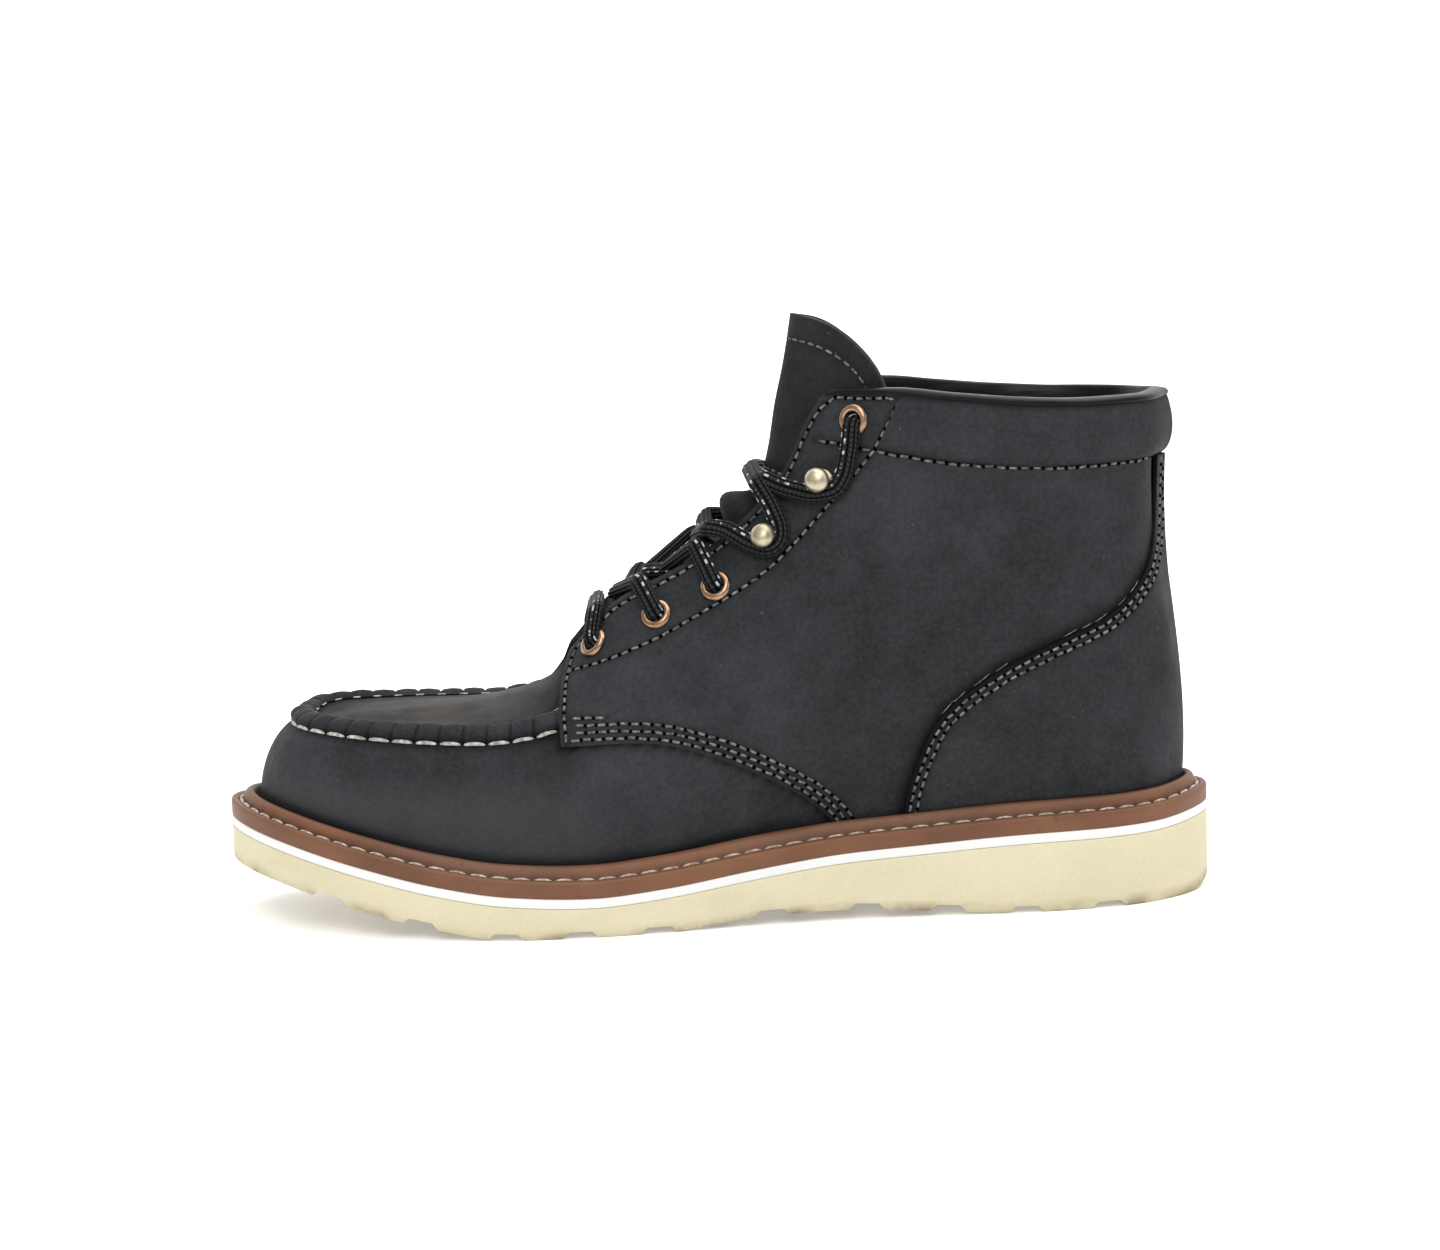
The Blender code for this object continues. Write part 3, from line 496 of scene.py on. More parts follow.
midsole = sole_slab("midsole_band", lambda x: outsole_z(x) + MIDSOLE_SEAT, midsole_z, MIDSOLE_ROUND,
                    cap_rows=4)
smooth(midsole)
white = Finish("white_foam_rubber", Specular_IOR_Level=0.3)
grime = white.where.stretched((30, 30, 120)).noise(1.0, 4).step(0.56, 0.80)
white.set(Base_Color=(grime * 0.35).tint(MIDSOLE_WHITE, MIDSOLE_GRIME),
          Roughness=0.55 + grime * 0.2, Normal=white.where.noise(900, 2).bump(0.08, 0.3))
white.coat(midsole)
hold(midsole, "white_rubber", "midsole")


# Insole: a leather-covered board on the midsole, seen only through the collar.
# It keeps its solid and gets the finish of worn tan leather.
TAN_DARK, TAN_PALE = (0.17, 0.12, 0.08), (0.26, 0.19, 0.13)
tan = Finish("tan_insole_leather", Roughness=0.7, Specular_IOR_Level=0.3)
tan.set(Base_Color=tan.where.noise(45, 4).tint(TAN_DARK, TAN_PALE),
        Normal=tan.where.noise(1400, 3).bump(0.15, 0.5))
tan.coat(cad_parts["insole"])


# Upper: the vamp with its toe plug and the inner body of the shaft, black oiled nubuck over a
# smooth lining, lasted over the insole. It is one wall, open at collar, throat and underneath.
SECTION_COLUMNS = ("at", "inset", "lean", "seam_x", "seam_half", "seam_z", "below", "above",
                   "top_x", "top_half", "top_z", "top_tilt")
SECTIONS = (
    (0.000, 9.7, 11.0, 130.5, 0.0, 62.3, 70, 82, 108.0, 0.0, 65.3, 90),
    (0.050, 9.7, 11.0, 127.7, 10.8, 62.1, 69, 82, 105.0, 0.0, 65.6, 90),
    (0.100, 9.8, 10.5, 120.2, 19.3, 61.7, 66, 80, 100.0, 0.0, 66.0, 90),
    (0.160, 10.0, 10.0, 108.0, 26.0, 61.1, 60, 78, 92.0, 0.0, 66.6, 90),
    (0.230, 10.2, 9.5, 91.0, 30.5, 60.5, 51, 76, 81.0, 0.0, 67.4, 90),
    (0.300, 10.4, 9.5, 71.5, 32.5, 60.0, 49, 72, 67.0, 0.0, 68.6, 90),
    (0.360, 10.8, 9.0, 53.5, 32.5, 62.5, 46, 60, 53.5, 0.0, 72.0, 86),
    (0.405, 11.6, 8.0, 41.0, 31.5, 69.0, 42, 46, 44.0, 9.0, 82.0, 62),
    (0.460, 12.2, 7.0, 26.0, 30.5, 78.0, 36, 36, 30.0, 14.5, 97.0, 48),
    (0.530, 12.2, 5.5, 6.0, 30.0, 90.0, 30, 30, 10.0, 16.0, 107.5, 45),
    (0.590, 12.2, 4.0, -13.0, 31.0, 99.0, 24, 24, -7.0, 17.0, 119.0, 42),
    (0.650, 12.2, 3.0, -31.0, 32.5, 106.0, 17, 17, -22.0, 18.0, 135.5, 34),
    (0.700, 12.3, 2.5, -47.0, 33.5, 110.0, 9, 9, -37.0, 20.5, 160.0, 19),
    (0.750, 12.6, 2.5, -63.0, 34.5, 110.0, 4, 4, -55.0, 32.5, 160.5, 4),
    (0.800, 12.8, 3.0, -81.0, 34.8, 108.0, 2, 2, -74.0, 36.5, 158.5, -2),
    (0.850, 12.8, 5.0, -99.0, 33.0, 104.0, 3, 3, -94.0, 36.5, 156.5, -4),
    (0.900, 12.4, 7.0, -117.5, 28.2, 101.0, 5, 4, -114.0, 32.0, 155.5, -6),
    (0.950, 11.9, 8.5, -133.0, 17.2, 99.0, 6, 5, -132.0, 20.5, 155.5, -7),
    (1.000, 11.6, 9.0, -140.0, 0.0, 98.0, 7, 5, -141.3, 0.0, 156.0, -8),
)
SECTION = {name: monotone(SECTIONS, i) for i, name in enumerate(SECTION_COLUMNS) if i}
# Rise of the seam line on the medial side of the toe, and the places where it sets in and ends.
MEDIAL_RISE, MEDIAL_RISE_IN, MEDIAL_RISE_OUT = 2.0, (0.0, -0.1), (-0.36, -0.5)
FEATHER_LIFT, UPPER_WALL = 1.0, 2.0
THROAT_END, COLLAR_CORNER = 0.36, 0.70
# Hollow of the plug between the sides of its roll: depth, heights where it sets in, places where it ends.
PLUG_DIP, PLUG_DIP_IN, PLUG_DIP_OUT = 1.9, (1.05, 1.45), (0.24, 0.37)
# Creases of the vamp below the throat: x at the middle, bend back towards the sides, depth, width.
VAMP_CREASES = ((62.0, 0.006, 0.45, 2.2), (68.0, 0.008, 0.30, 2.6), (57.0, 0.004, 0.35, 1.8))
CREASES_IN, CREASES_END = (0.8, 1.15), 0.5       # heights where they set in, place where they end
CREASE_RIDGE, RIDGE_AHEAD = 0.6, 2.2             # height to a crease's depth, distance to its width
NUBUCK, NUBUCK_SHINE = (0.0262, 0.0276, 0.0300), 0.06
NAP_DARK, NAP_PALE, NAP_DIRT_AND_SHADE = 0.52, 1.55, 0.14  # shares of the leather's tone
SPECK = (0.16, 0.16, 0.155)
# Worn middle of the plug, also a painted sheen: its place and reach in metres, strength and colour.
WORN_SHEEN_SPOT, WORN_SHEEN_REACH, WORN_AND_SHEEN, WORN_SHEEN_BROWN = (0.082, -0.002, 0.068), (0.010, 0.044), 0.55, (0.075, 0.066, 0.057)
# Painted light low on the toe, as from the floor below: the z and x in metres where it fades, strength and
# colour.
BOUNCE_BELOW, BOUNCE_AHEAD, BOUNCE_LIGHT, BOUNCE_GREY = (0.036, 0.052), (0.030, 0.060), 0.42, (0.054, 0.056, 0.059)


def ease(low, high, value):
    """0 at low, 1 at high and a smooth rise between."""
    u = np.clip((value - low) / (high - low), 0.0, 1.0)
    return u * u * (3 - 2 * u)


def middle(x):
    """Centre line of the sole's plan."""
    return 0.5 * sum(np.interp(x, half[:, 1], half[:, 2]) for half in HALVES)


def unit(vectors):
    return vectors / np.linalg.norm(vectors, axis=-1, keepdims=True)


def tilted(normal, degrees):
    """Unit vectors that rise and lean inward by an angle."""
    angle = np.radians(degrees)
    return np.column_stack([normal * np.sin(angle)[:, None], np.cos(angle)])


def meridian(at):
    """Feather line, seam line and top edge of the sections at some places, and the slopes between them."""
    at = (at + 1) % 2 - 1
    side = np.where(at < 0, MEDIAL, LATERAL)
    row = {name: read(np.abs(at)) for name, read in SECTION.items()}
    row["seam_z"] = row["seam_z"] + MEDIAL_RISE * ease(*MEDIAL_RISE_IN, at) * (1 - ease(*MEDIAL_RISE_OUT, at))
    plan = outline(at, row["inset"])
    foot = np.column_stack([plan, midsole_z(plan[:, 0]) + FEATHER_LIFT])
    seam, top = (np.column_stack([row[line + "_x"], middle(row[line + "_x"]) + side * row[line + "_half"],
                                  row[line + "_z"]]) for line in ("seam", "top"))
    normal = inward(at)
    sideways = np.column_stack([-normal[:, 1], normal[:, 0], np.zeros(len(at))])
    slopes = []
    for start, end, first, last in ((foot, seam, -row["lean"], row["below"]),
                                    (seam, top, row["above"], row["top_tilt"])):
        slip = sideways * np.sum((end - start) * sideways, axis=1, keepdims=True)
        length = np.linalg.norm(end - start - slip, axis=1, keepdims=True)
        slopes.append((slip + length * tilted(normal, first), slip + length * tilted(normal, last)))
    return foot, seam, top, slopes


def paired(at, up):
    """Places and heights as arrays of one length."""
    return np.broadcast_arrays(np.atleast_1d(np.asarray(at, float)), np.atleast_1d(np.asarray(up, float)))


def skin(at, up):
    """Points on the outside of the upper: up is 0 at the feather line, 1 at the seam line, 2 at the top."""
    at, up = paired(at, up)
    foot, seam, top, slopes = meridian(at)
    lower = hermite(foot, seam, *slopes[0], np.minimum(up, 1)[:, None])
    upper = hermite(seam, top, *slopes[1], np.maximum(up - 1, 0)[:, None])
    return np.where((up <= 1)[:, None], lower, upper)


def skin_normal(at, up, step=0.004):
    """Outward normals of the skin."""
    at, up = paired(at, up)
    level = np.minimum(up, 2 - 5 * step)
    along = skin(at + step, level) - skin(at - step, level)
    rising = skin(at, np.minimum(up + step, 2)) - skin(at, np.maximum(up - step, 0))
    return unit(np.cross(along, rising))


def over_skin(at, up, lift):
    """Points that stand a distance off the skin."""
    return skin(at, up) + np.asarray(lift)[..., None] * skin_normal(at, up)


def vamp(u, v):
    """The skin with the hollow of its plug and its creases."""
    at, up = 2 * u - 1, 2 * v
    points = skin(at, up)
    points[:, 2] -= PLUG_DIP * ease(*PLUG_DIP_IN, up) * (1 - ease(*PLUG_DIP_OUT, np.abs(at)))
    dent = np.zeros(len(at))
    for x, bend, depth, width in VAMP_CREASES:
        off = points[:, 0] - x + bend * points[:, 1] ** 2
        dent += depth * (halo(off, width) - halo(off - RIDGE_AHEAD * width, width, CREASE_RIDGE))
    dent *= ease(*CREASES_IN, up) * (np.abs(at) < CREASES_END)
    return points - dent[:, None] * skin_normal(at, up)


upper = grid_piece("vamp_and_lining", 320, 52, vamp)
weld(upper, outward=False)
finish_with(upper, "SOLIDIFY", thickness=UPPER_WALL * MM, offset=-1)
smooth(upper, 50)


def shaded(tone, share):
    return tuple(share * part for part in tone)


def nubuck(name, tone, wear_sheen_and_bounce=0.0):
    """Oiled black nubuck: a fine nap, cloudy rubbed places, seams and edges darkened by dirt and painted
    shade, and a few pale specks; when worn, a brown rubbed patch with a painted sheen and painted light low
    on the toe.
    """
    made = Finish(name, Specular_IOR_Level=NUBUCK_SHINE)
    spot = made.where
    cloud = spot.noise(13, 4, 0.55).step(0.34, 0.68)
    mottle = spot.noise(80, 5, 0.65).step(0.30, 0.72)
    nap = spot.noise(700, 3, 0.6).step(0.30, 0.70)
    rubbed = cloud * 0.46 + mottle * 0.24 + nap * 0.30
    colour = rubbed.tint(shaded(tone, NAP_DARK), shaded(tone, NAP_PALE))
    if wear_sheen_and_bounce:
        # The brown worn patch on the plug also paints the sheen of the light there.
        patch = (1 - spot.near(WORN_SHEEN_SPOT).step(*WORN_SHEEN_REACH)) * spot.noise(55, 5).step(0.28, 0.62)
        colour = (patch * wear_sheen_and_bounce).tint(colour, WORN_SHEEN_BROWN)
        # Painted light from the floor pales the lowest part of the toe.
        painted_bounce = (1 - spot.part("Z").step(*BOUNCE_BELOW)) * spot.part("X").step(*BOUNCE_AHEAD)
        colour = (painted_bounce * BOUNCE_LIGHT).tint(colour, BOUNCE_GREY)
    speck = spot.noise(520, 1).step(0.74, 0.80) * spot.noise(38, 2).step(0.48, 0.62)
    colour = (speck * 0.22).tint(colour, SPECK)
    # Dirt and painted shade kept at the vertices darken the leather.
    colour = (made.soil_and_shade() * 0.95).tint(colour, shaded(tone, NAP_DIRT_AND_SHADE))
    grain = spot.node("TexVoronoi", {"feature": "SMOOTH_F1"},
                      {"Vector": spot, "Scale": 1000, "Smoothness": 0.4})
    made.set(Base_Color=colour, Roughness=0.76 - (cloud * 0.10 + mottle * 0.10),
             Normal=(grain * 0.6 + nap * 0.5 + mottle * 0.8).bump(0.16, 0.5))
    return made


vamp_leather = nubuck("black_nubuck_vamp", NUBUCK, WORN_AND_SHEEN)
vamp_leather.coat(upper)
hold(upper, "black_leather", "upper")


# Welt: a storm welt of brown leather sewn round the upper, its bead tight against the leather
# and its ledge stitched down to the midsole through a shallow channel.
QUARTER_THICK, QUARTER_TOP, COUNTER_THICK = 1.6, 1.9, 2.6
QUARTER_FROM, COUNTER_FROM = (0.55, 0.60), (0.61, 0.65)
WELT_BEAD, WELT_BACK = 8.8, 8.4                  # height of the bead, and where it meets the upper
# Section of the welt: share of its width in from the edge, height over the midsole.
WELT_SECTION = ((0.00, 0.0), (0.00, 4.1), (0.025, 4.8), (0.09, 5.2), (0.24, 5.3), (0.31, 5.1), (0.35, 4.6),
                (0.46, 4.55), (0.50, 5.2), (0.56, 6.7), (0.64, 8.0), (0.76, 8.75), (0.88, 8.8), (0.96, 8.4),
                (1.00, 7.6), (1.00, 0.0))
WELT_CHANNEL = (0.395, 5.15)                     # share of the width and height of the thread
WELT_PITCH, WELT_STITCH, WELT_THREAD, WELT_DIP = 6.5, 5.7, 1.15, 0.35
THREAD_WIDE, THREAD_HIGH = 0.5, 0.45             # half the width and height of a stitch to its thread
WELT_DARK, WELT_PALE = (0.097, 0.0385, 0.0187), (0.205, 0.089, 0.043)
WELT_FLECK, WELT_SOIL_AND_SHADE = (0.045, 0.018, 0.010), (0.018, 0.009, 0.006)
# Reach and strength of the dirt and painted shade behind the bead, in the channel and where the stitches
# start.
BACK_SHADE_AND_DIRT, CHANNEL_DIRT_AND_SHADE, START_DIRT_AND_SHADE = (1.5, 1.0), (1.1, 0.7), (1.3, 0.5)
BEIGE_THREAD = ((0.26, 0.19, 0.14), (0.56, 0.46, 0.38))       # darkest and palest colour


def welt_width(at):
    """From the sole's edge to whatever stands behind the bead: vamp, then quarter, then counter."""
    place = np.abs((at + 1) % 2 - 1)
    layers = (QUARTER_TOP * ease(*QUARTER_FROM, place)
              + (COUNTER_THICK - QUARTER_THICK) * ease(*COUNTER_FROM, place))
    return SECTION["inset"](place) - layers - np.tan(np.radians(SECTION["lean"](place))) * WELT_BEAD - 2 * GAP


def welt_point(at, share, height):
    """Points on the welt by place, share of its width and height over the midsole."""
    plan = outline(at, share * welt_width(at))
    return np.column_stack([plan, midsole_z(plan[:, 0]) + height])


def along_corners(section, v, closed=True):
    """Columns of a section, read from corner to corner as v runs from 0 to 1."""
    ring = np.array(section + section[:1] if closed else section)
    return [np.interp(v * (len(ring) - 1), np.arange(len(ring)), column) for column in ring.T]


def read_along(run, values, at):
    """Rows of values kept along a run, read at some lengths of it."""
    return np.column_stack([np.interp(at, run, column) for column in values.T])


stray = np.random.default_rng(7)


def paced(points, normals, pitch, length, slip=0.0):
    """Starts, ends and normals of stitches at an even pitch along a run; slip lets them stray sideways."""
    run = run_along(points)
    spare = run[-1] - length
    firsts = pitch * np.arange(int(spare / pitch) + 1) + 0.5 * (spare % pitch)
    starts, ends = (read_along(run, points, firsts + ahead) for ahead in (0.0, length))
    tops = read_along(run, normals, firsts + 0.5 * length)
    beside = unit(np.cross(tops, ends - starts))
    starts = starts + slip * stray.normal(size=(len(firsts), 1)) * beside
    ends = ends + slip * stray.normal(size=(len(firsts), 1)) * beside
    return starts, ends, tops


def sewn(name, rows, thick, dip=0.3):
    """Joined mesh of stitches, each a bead of thread from a start to an end with its tips drawn in."""
    starts, ends, normals = (np.concatenate(column) for column in zip(*rows))
    bpy.ops.object.select_all(action="DESELECT")
    bpy.ops.mesh.primitive_uv_sphere_add(segments=8, ring_count=6, radius=1)
    bead = bpy.context.object
    x, y, z = np.array([vertex.co for vertex in bead.data.vertices])[:, [2, 0, 1]].T
    corners = [np.array(face.vertices) for face in bead.data.polygons]
    bpy.data.objects.remove(bead)
    ahead = 0.5 * (ends - starts)
    beside = unit(np.cross(normals, ahead))
    rise = unit(np.cross(ahead, beside))
    blunt = np.sqrt(1 + x * x)
    wide, high = THREAD_WIDE * thick * (y * blunt), THREAD_HIGH * thick * (z * blunt) - dip * x * x
    body = (0.5 * (starts + ends)[:, None] + x[:, None] * ahead[:, None] + wide[:, None] * beside[:, None]
            + high[:, None] * rise[:, None])
    mesh = bpy.data.meshes.new(name)
    mesh.from_pydata(body.reshape(-1, 3) * MM, [], [(face + len(x) * i).tolist() for i in range(len(starts))
                                                    for face in corners])
    made = bpy.data.objects.new(name, mesh)
    bpy.context.collection.objects.link(made)
    mesh.shade_smooth()
    return made


def tree_of(points):
    """Search tree of points."""
    tree = KDTree(len(points))
    for i, point in enumerate(points):
        tree.insert(point, i)
    tree.balance()
    return tree


def away_from(made, runs):
    """Distance of each vertex from the nearest point of some runs."""
    tree = tree_of(np.concatenate(runs))
    return np.array([tree.find(vertex.co / MM)[2] for vertex in made.data.vertices])


welt = grid_piece("storm_welt", 440, 2 * len(WELT_SECTION),
                  lambda u, v: welt_point(2 * u - 1, *along_corners(WELT_SECTION, v)))
weld(welt)
smooth(welt, 50)
ring = np.linspace(-1, 1, 900)
channel = welt_point(ring, *WELT_CHANNEL)
welt_row = paced(channel, np.tile((0.0, 0.0, 1.0), (len(ring), 1)), WELT_PITCH, WELT_STITCH)
welt_thread = sewn("welt_stitches", [welt_row], WELT_THREAD, WELT_DIP)
# Painted shade with dirt darkens the welt behind its bead, in its channel and where its stitches start.
keep_soil_and_shade(welt, halo(away_from(welt, [welt_point(ring, 1.0, WELT_BACK)]), *BACK_SHADE_AND_DIRT)
       + halo(away_from(welt, [channel]), *CHANNEL_DIRT_AND_SHADE) + halo(away_from(welt, [welt_row[0]]), *START_DIRT_AND_SHADE))
brown = Finish("brown_welt_leather", Specular_IOR_Level=0.3)
streak = brown.where.stretched((60, 60, 260)).noise(1.0, 4)
blotch = brown.where.noise(28, 3).step(0.35, 0.7)
fleck = brown.where.noise(420, 2).step(0.62, 0.78)
stain = (fleck * 0.35).tint((streak * 0.5 + blotch * 0.4).tint(WELT_DARK, WELT_PALE), WELT_FLECK)
brown.set(Base_Color=brown.soil_and_shade().tint(stain, WELT_SOIL_AND_SHADE), Roughness=0.42 + streak * 0.2,
          Normal=(streak + brown.where.noise(1500, 2)).bump(0.10, 0.5))
brown.coat(welt)
hold(welt, "brown_welt", "welt")


def thread(name, dark, pale, shine=0.25):
    """Waxed thread: its twist shows as a fine ripple."""
    made = Finish(name, Roughness=0.75, Specular_IOR_Level=shine)
    made.set(Base_Color=made.where.noise(700, 3).step(0.3, 0.7).tint(dark, pale),
             Normal=made.where.noise(3200, 1).bump(0.12, 0.6))
    return made


beige_thread = thread("beige_thread", *BEIGE_THREAD)
beige_thread.coat(welt_thread)
hold(welt_thread, "lace_cord")


# Moc seam: the plug and the vamp are drawn up into a rolled ridge round the toe and sewn by hand.
# Each pull of the thread leaves a pucker across the roll, and the thread shows along its foot.
ROLL_END, ROLL_WIDTH, ROLL_HEIGHT = 0.398, 7.5, 3.0
ROLL_TAPER, ROLL_SINK = (0.352, 0.392), 0.62     # places where it sinks under the quarter, and how far
ROLL_SHOWN, ROLL_UNDER = 0.8, 0.2                # shares of its section over and under the leather
ROLL_SEAT, ROLL_SAG, ROLL_CROWN = 0.3, 0.9, 0.75
PUCKERS, PUCKER, PUCKER_WIDTH, PUCKER_DEPTH, PUCKER_STRAY = 17, 7.3, 0.060, 0.27, 0.02
SWELL, DRIFT, DRIFT_RATE = 0.06, 0.04, 0.37      # of the roll between puckers and along its length
MOC_STITCH, MOC_THREAD, MOC_DIP, MOC_SEWN_TO = 6.6, 1.25, 0.6, 0.366
PULL_OFF = (-0.008, 0.55)                        # up the skin from the lower foot, and lift
PRICK, PRICK_THREAD, PRICK_OFF = 3.0, 0.65, (0.012, 0.25)     # short stitches along the upper foot
PUCKER_SHADE, ROLL_FOOT_SHADE = (0.55, 0.45), (1.9, 0.85)            # reach and strength of the painted shade in the puckers and along the roll's lower foot
PALE_THREAD = ((0.20, 0.20, 0.185), (0.52, 0.52, 0.48))
seam_at = np.linspace(-ROLL_END, ROLL_END, 800)
seam_run = run_along(meridian(seam_at)[1])
seam_run -= np.interp(0.0, seam_at, seam_run)


def roll_base(at):
    """Heights on the skin of the roll's lower and upper foot."""
    foot, seam, top, _ = meridian(at)
    return (1 - 0.5 * ROLL_WIDTH / np.linalg.norm(seam - foot, axis=1),
            1 + 0.5 * ROLL_WIDTH / np.linalg.norm(top - seam, axis=1))


def roll(u, v):
    """Puckered roll: u runs along it, v over it and back under it."""
    at = ROLL_END * (2 * u - 1)
    low, high = roll_base(at)
    out = unit(skin_normal(at, low) + skin_normal(at, high))
    run = np.interp(at, seam_at, seam_run)
    phase = run / PUCKER % 1.0
    pucker = halo(phase - 0.5 + PUCKER_STRAY * np.sin(run), PUCKER_WIDTH)
    swell = 1 - PUCKER_DEPTH * pucker + SWELL * np.cos(2 * math.pi * phase) + DRIFT * np.sin(DRIFT_RATE * run)
    swell *= 1 - ROLL_SINK * ease(*ROLL_TAPER, np.abs(at))
    turn = math.pi * np.clip(v / ROLL_SHOWN, 0, 1)
    under = np.clip((v - ROLL_SHOWN) / ROLL_UNDER, 0, 1)
    share = np.where(v <= ROLL_SHOWN, 0.5 - 0.5 * np.cos(turn), 1 - under)
    lift = ROLL_SEAT + np.where(v <= ROLL_SHOWN, ROLL_HEIGHT * swell * np.sin(turn) ** ROLL_CROWN,
                                -ROLL_SAG * np.sin(math.pi * under))
    return skin(at, low) * (1 - share)[:, None] + skin(at, high) * share[:, None] + lift[:, None] * out


def close_ends(made):
    """Fill the open ends of a tube."""
    bm = bmesh.new()
    bm.from_mesh(made.data)
    bmesh.ops.holes_fill(bm, edges=[edge for edge in bm.edges if edge.is_boundary], sides=0)
    bmesh.ops.recalc_face_normals(bm, faces=bm.faces)
    bm.to_mesh(made.data)
    bm.free()


def beside_roll(run, foot, out, lift):
    """Points along one foot of the roll, moved out from it and lifted, and their normals."""
    at = np.interp(run, seam_run, seam_at)
    up = roll_base(at)[foot] + out
    return over_skin(at, up, lift), skin_normal(at, up)


def moc_row(middles, length, foot, off):
    """Stitches along one foot of the roll: starts, ends and normals."""
    (starts, normals), (ends, _) = (beside_roll(middles + share * length, foot, *off)
                                    for share in (-0.5, 0.5))
    return starts, ends, normals


moc = grid_piece("moc_roll", 700, 20, roll)
weld(moc)
close_ends(moc)
smooth(moc, 60)
whole_roll = np.linspace(seam_run[0], seam_run[-1], 400)
pucker_at = np.interp(PUCKER * (0.5 + np.arange(-PUCKERS, PUCKERS)), seam_run, seam_at) / ROLL_END * 0.5 + 0.5
pucker_runs = [roll(np.full(40, share), np.linspace(0.0, ROLL_SHOWN, 40)) for share in pucker_at]
roll_foot, _ = beside_roll(whole_roll, 0, 0.0, ROLL_SEAT)
# Painted shade in the puckers and along the lower foot of the roll.
keep_soil_and_shade(moc, halo(away_from(moc, pucker_runs), *PUCKER_SHADE) + halo(away_from(moc, [roll_foot]), *ROLL_FOOT_SHADE))
vamp_leather.coat(moc)
hold(moc, "black_leather", "moc_seam")
pulls = PUCKER * np.arange(1 - PUCKERS, PUCKERS)
pulls = pulls[np.abs(np.interp(pulls, seam_run, seam_at)) < MOC_SEWN_TO]
pull_row = moc_row(pulls, MOC_STITCH, 0, PULL_OFF)
prick_row = moc_row(pulls + 0.5 * PUCKER, PRICK, 1, PRICK_OFF)
moc_thread = joined("moc_stitches", sewn("moc_pulls", [pull_row], MOC_THREAD, MOC_DIP),
                    sewn("moc_pricks", [prick_row], PRICK_THREAD, 0.0))
pale_thread = thread("pale_thread", *PALE_THREAD)
pale_thread.coat(moc_thread)
hold(moc_thread, "lace_cord")


# Quarters: a side panel of black nubuck on each side, with the eyestay in one piece with it.
# Each is sewn down on the vamp by three rows, and a row follows its front, throat and eyestay.
SIDES = ((LATERAL, "lateral"), (MEDIAL, "medial"))
# Edges and rows as seen from the side: x, z.
QUARTER_FRONT = ((48.7, 56.6), (49.2, 68.0), (47.2, 79.0), (42.6, 88.0), (36.0, 96.0))
QUARTER_LOWER = ((-36.0, 20.0), (-33.6, 29.0), (-23.0, 38.5), (-5.0, 48.5), (12.0, 55.0), (27.0, 57.2),
                 (48.7, 56.6))
COLLAR_SEAM = ((-134.5, 136.5), (-117.0, 136.0), (-99.0, 136.0), (-72.0, 138.6), (-49.0, 142.5))
CUFF_FRONT = ((-49.0, 142.5), (-53.6, 152.0), (-57.5, 160.5))
COUNTER_EDGE = ((-55.0, 15.0), (-55.6, 31.0), (-60.6, 48.0), (-68.6, 62.0), (-85.6, 74.5), (-104.0, 83.0),
                (-119.5, 89.5), (-131.0, 99.5), (-136.5, 112.0), (-138.6, 136.5))
EYESTAY = ((46.5, 76.6), (23.7, 85.4), (5.0, 95.0), (-13.5, 106.0), (-26.0, 117.5), (-38.5, 131.0),
           (-48.0, 142.0), (-53.0, 151.0), (-57.0, 158.8))
COLLAR_TAIL = ((-49.0, 142.5), (-40.0, 144.6), (-31.0, 146.0))
QUARTER_SPAN, QUARTER_BACK, QUARTER_SHEET = (0.345, 0.965), 0.97, 1.5
PAST_FOOT, PAST_TOP, TOP_SLANT = -0.05, 2.05, 0.006     # heights past the skin's ends, where edges run out
FRONT_POINTS, FRONT_ROW_POINTS = 48, 38                 # points of the front's curve below the throat
LOWER_ROWS, FRONT_ROW, THROAT_ROW, RIM_ROW = (1.6, 3.7, 5.8), 1.8, 3.0, 1.9
SHORT_ROW, SHORT_ROW_X, LOWER_ROWS_X = 7.8, 34, 46.7    # the short row's distance, x where rows begin and end
THROAT_SPAN, RIM_BACK, RAW_SPAN = (0.418, 0.697), 0.004, (0.40, 0.72)
FINE_PITCH, FINE_STITCH, FINE_THREAD, FINE_SLIP, FINE_DIP = 3.4, 2.95, 0.85, 0.13, 0.25
LONG_PITCH, LONG_STITCH = 3.5, 2.7
NEEDLE_HOLE, FINE_HOLE, LONG_HOLE = 1.15, 1.1, 1.2      # length of a hole along its row, and widths
SHEET_WIDE, SHEET_HIGH = 430.0, 66.0             # millimetres of leather to one unit of place and of height
SNAP = 0.28                                      # share of a cell within which corners go to a cut edge
EDGE_PRESS, ROW_PRESS = (0.5, 0.7), (0.32, 0.75)        # depth and reach
# Reach and strength of the dirt and painted shade on a quarter, then of the painted shade on the vamp.
EDGE_DIRT_AND_SHADE, ROW_DIRT_AND_SHADE, COUNTER_SHADE = (0.6, 0.3), (1.3, 0.5), (3.0, 1.0)
ROLL_SHADE, PANEL_SHADE, FRONT_SHADE = (2.2, 0.9), (1.2, 1.0), (8.0, 0.5)
# Eyelets seen from the side: x, z, seat over the leather.
EYELETS = ((37.8, 85.4, 0.5), (18.4, 94.4, 0.4), (0.1, 102.7, 0.4), (-43.5, 152.0, 1.1))
EYELET_BORE, BORE_DEEP = 2.95, 16
GREY_THREAD = ((0.035, 0.035, 0.035), (0.19, 0.19, 0.185))
# Near-black of the beads that paint the shade in needle holes.
HOLE_SHADE = ((0.001, 0.001, 0.001), (0.003, 0.003, 0.003))


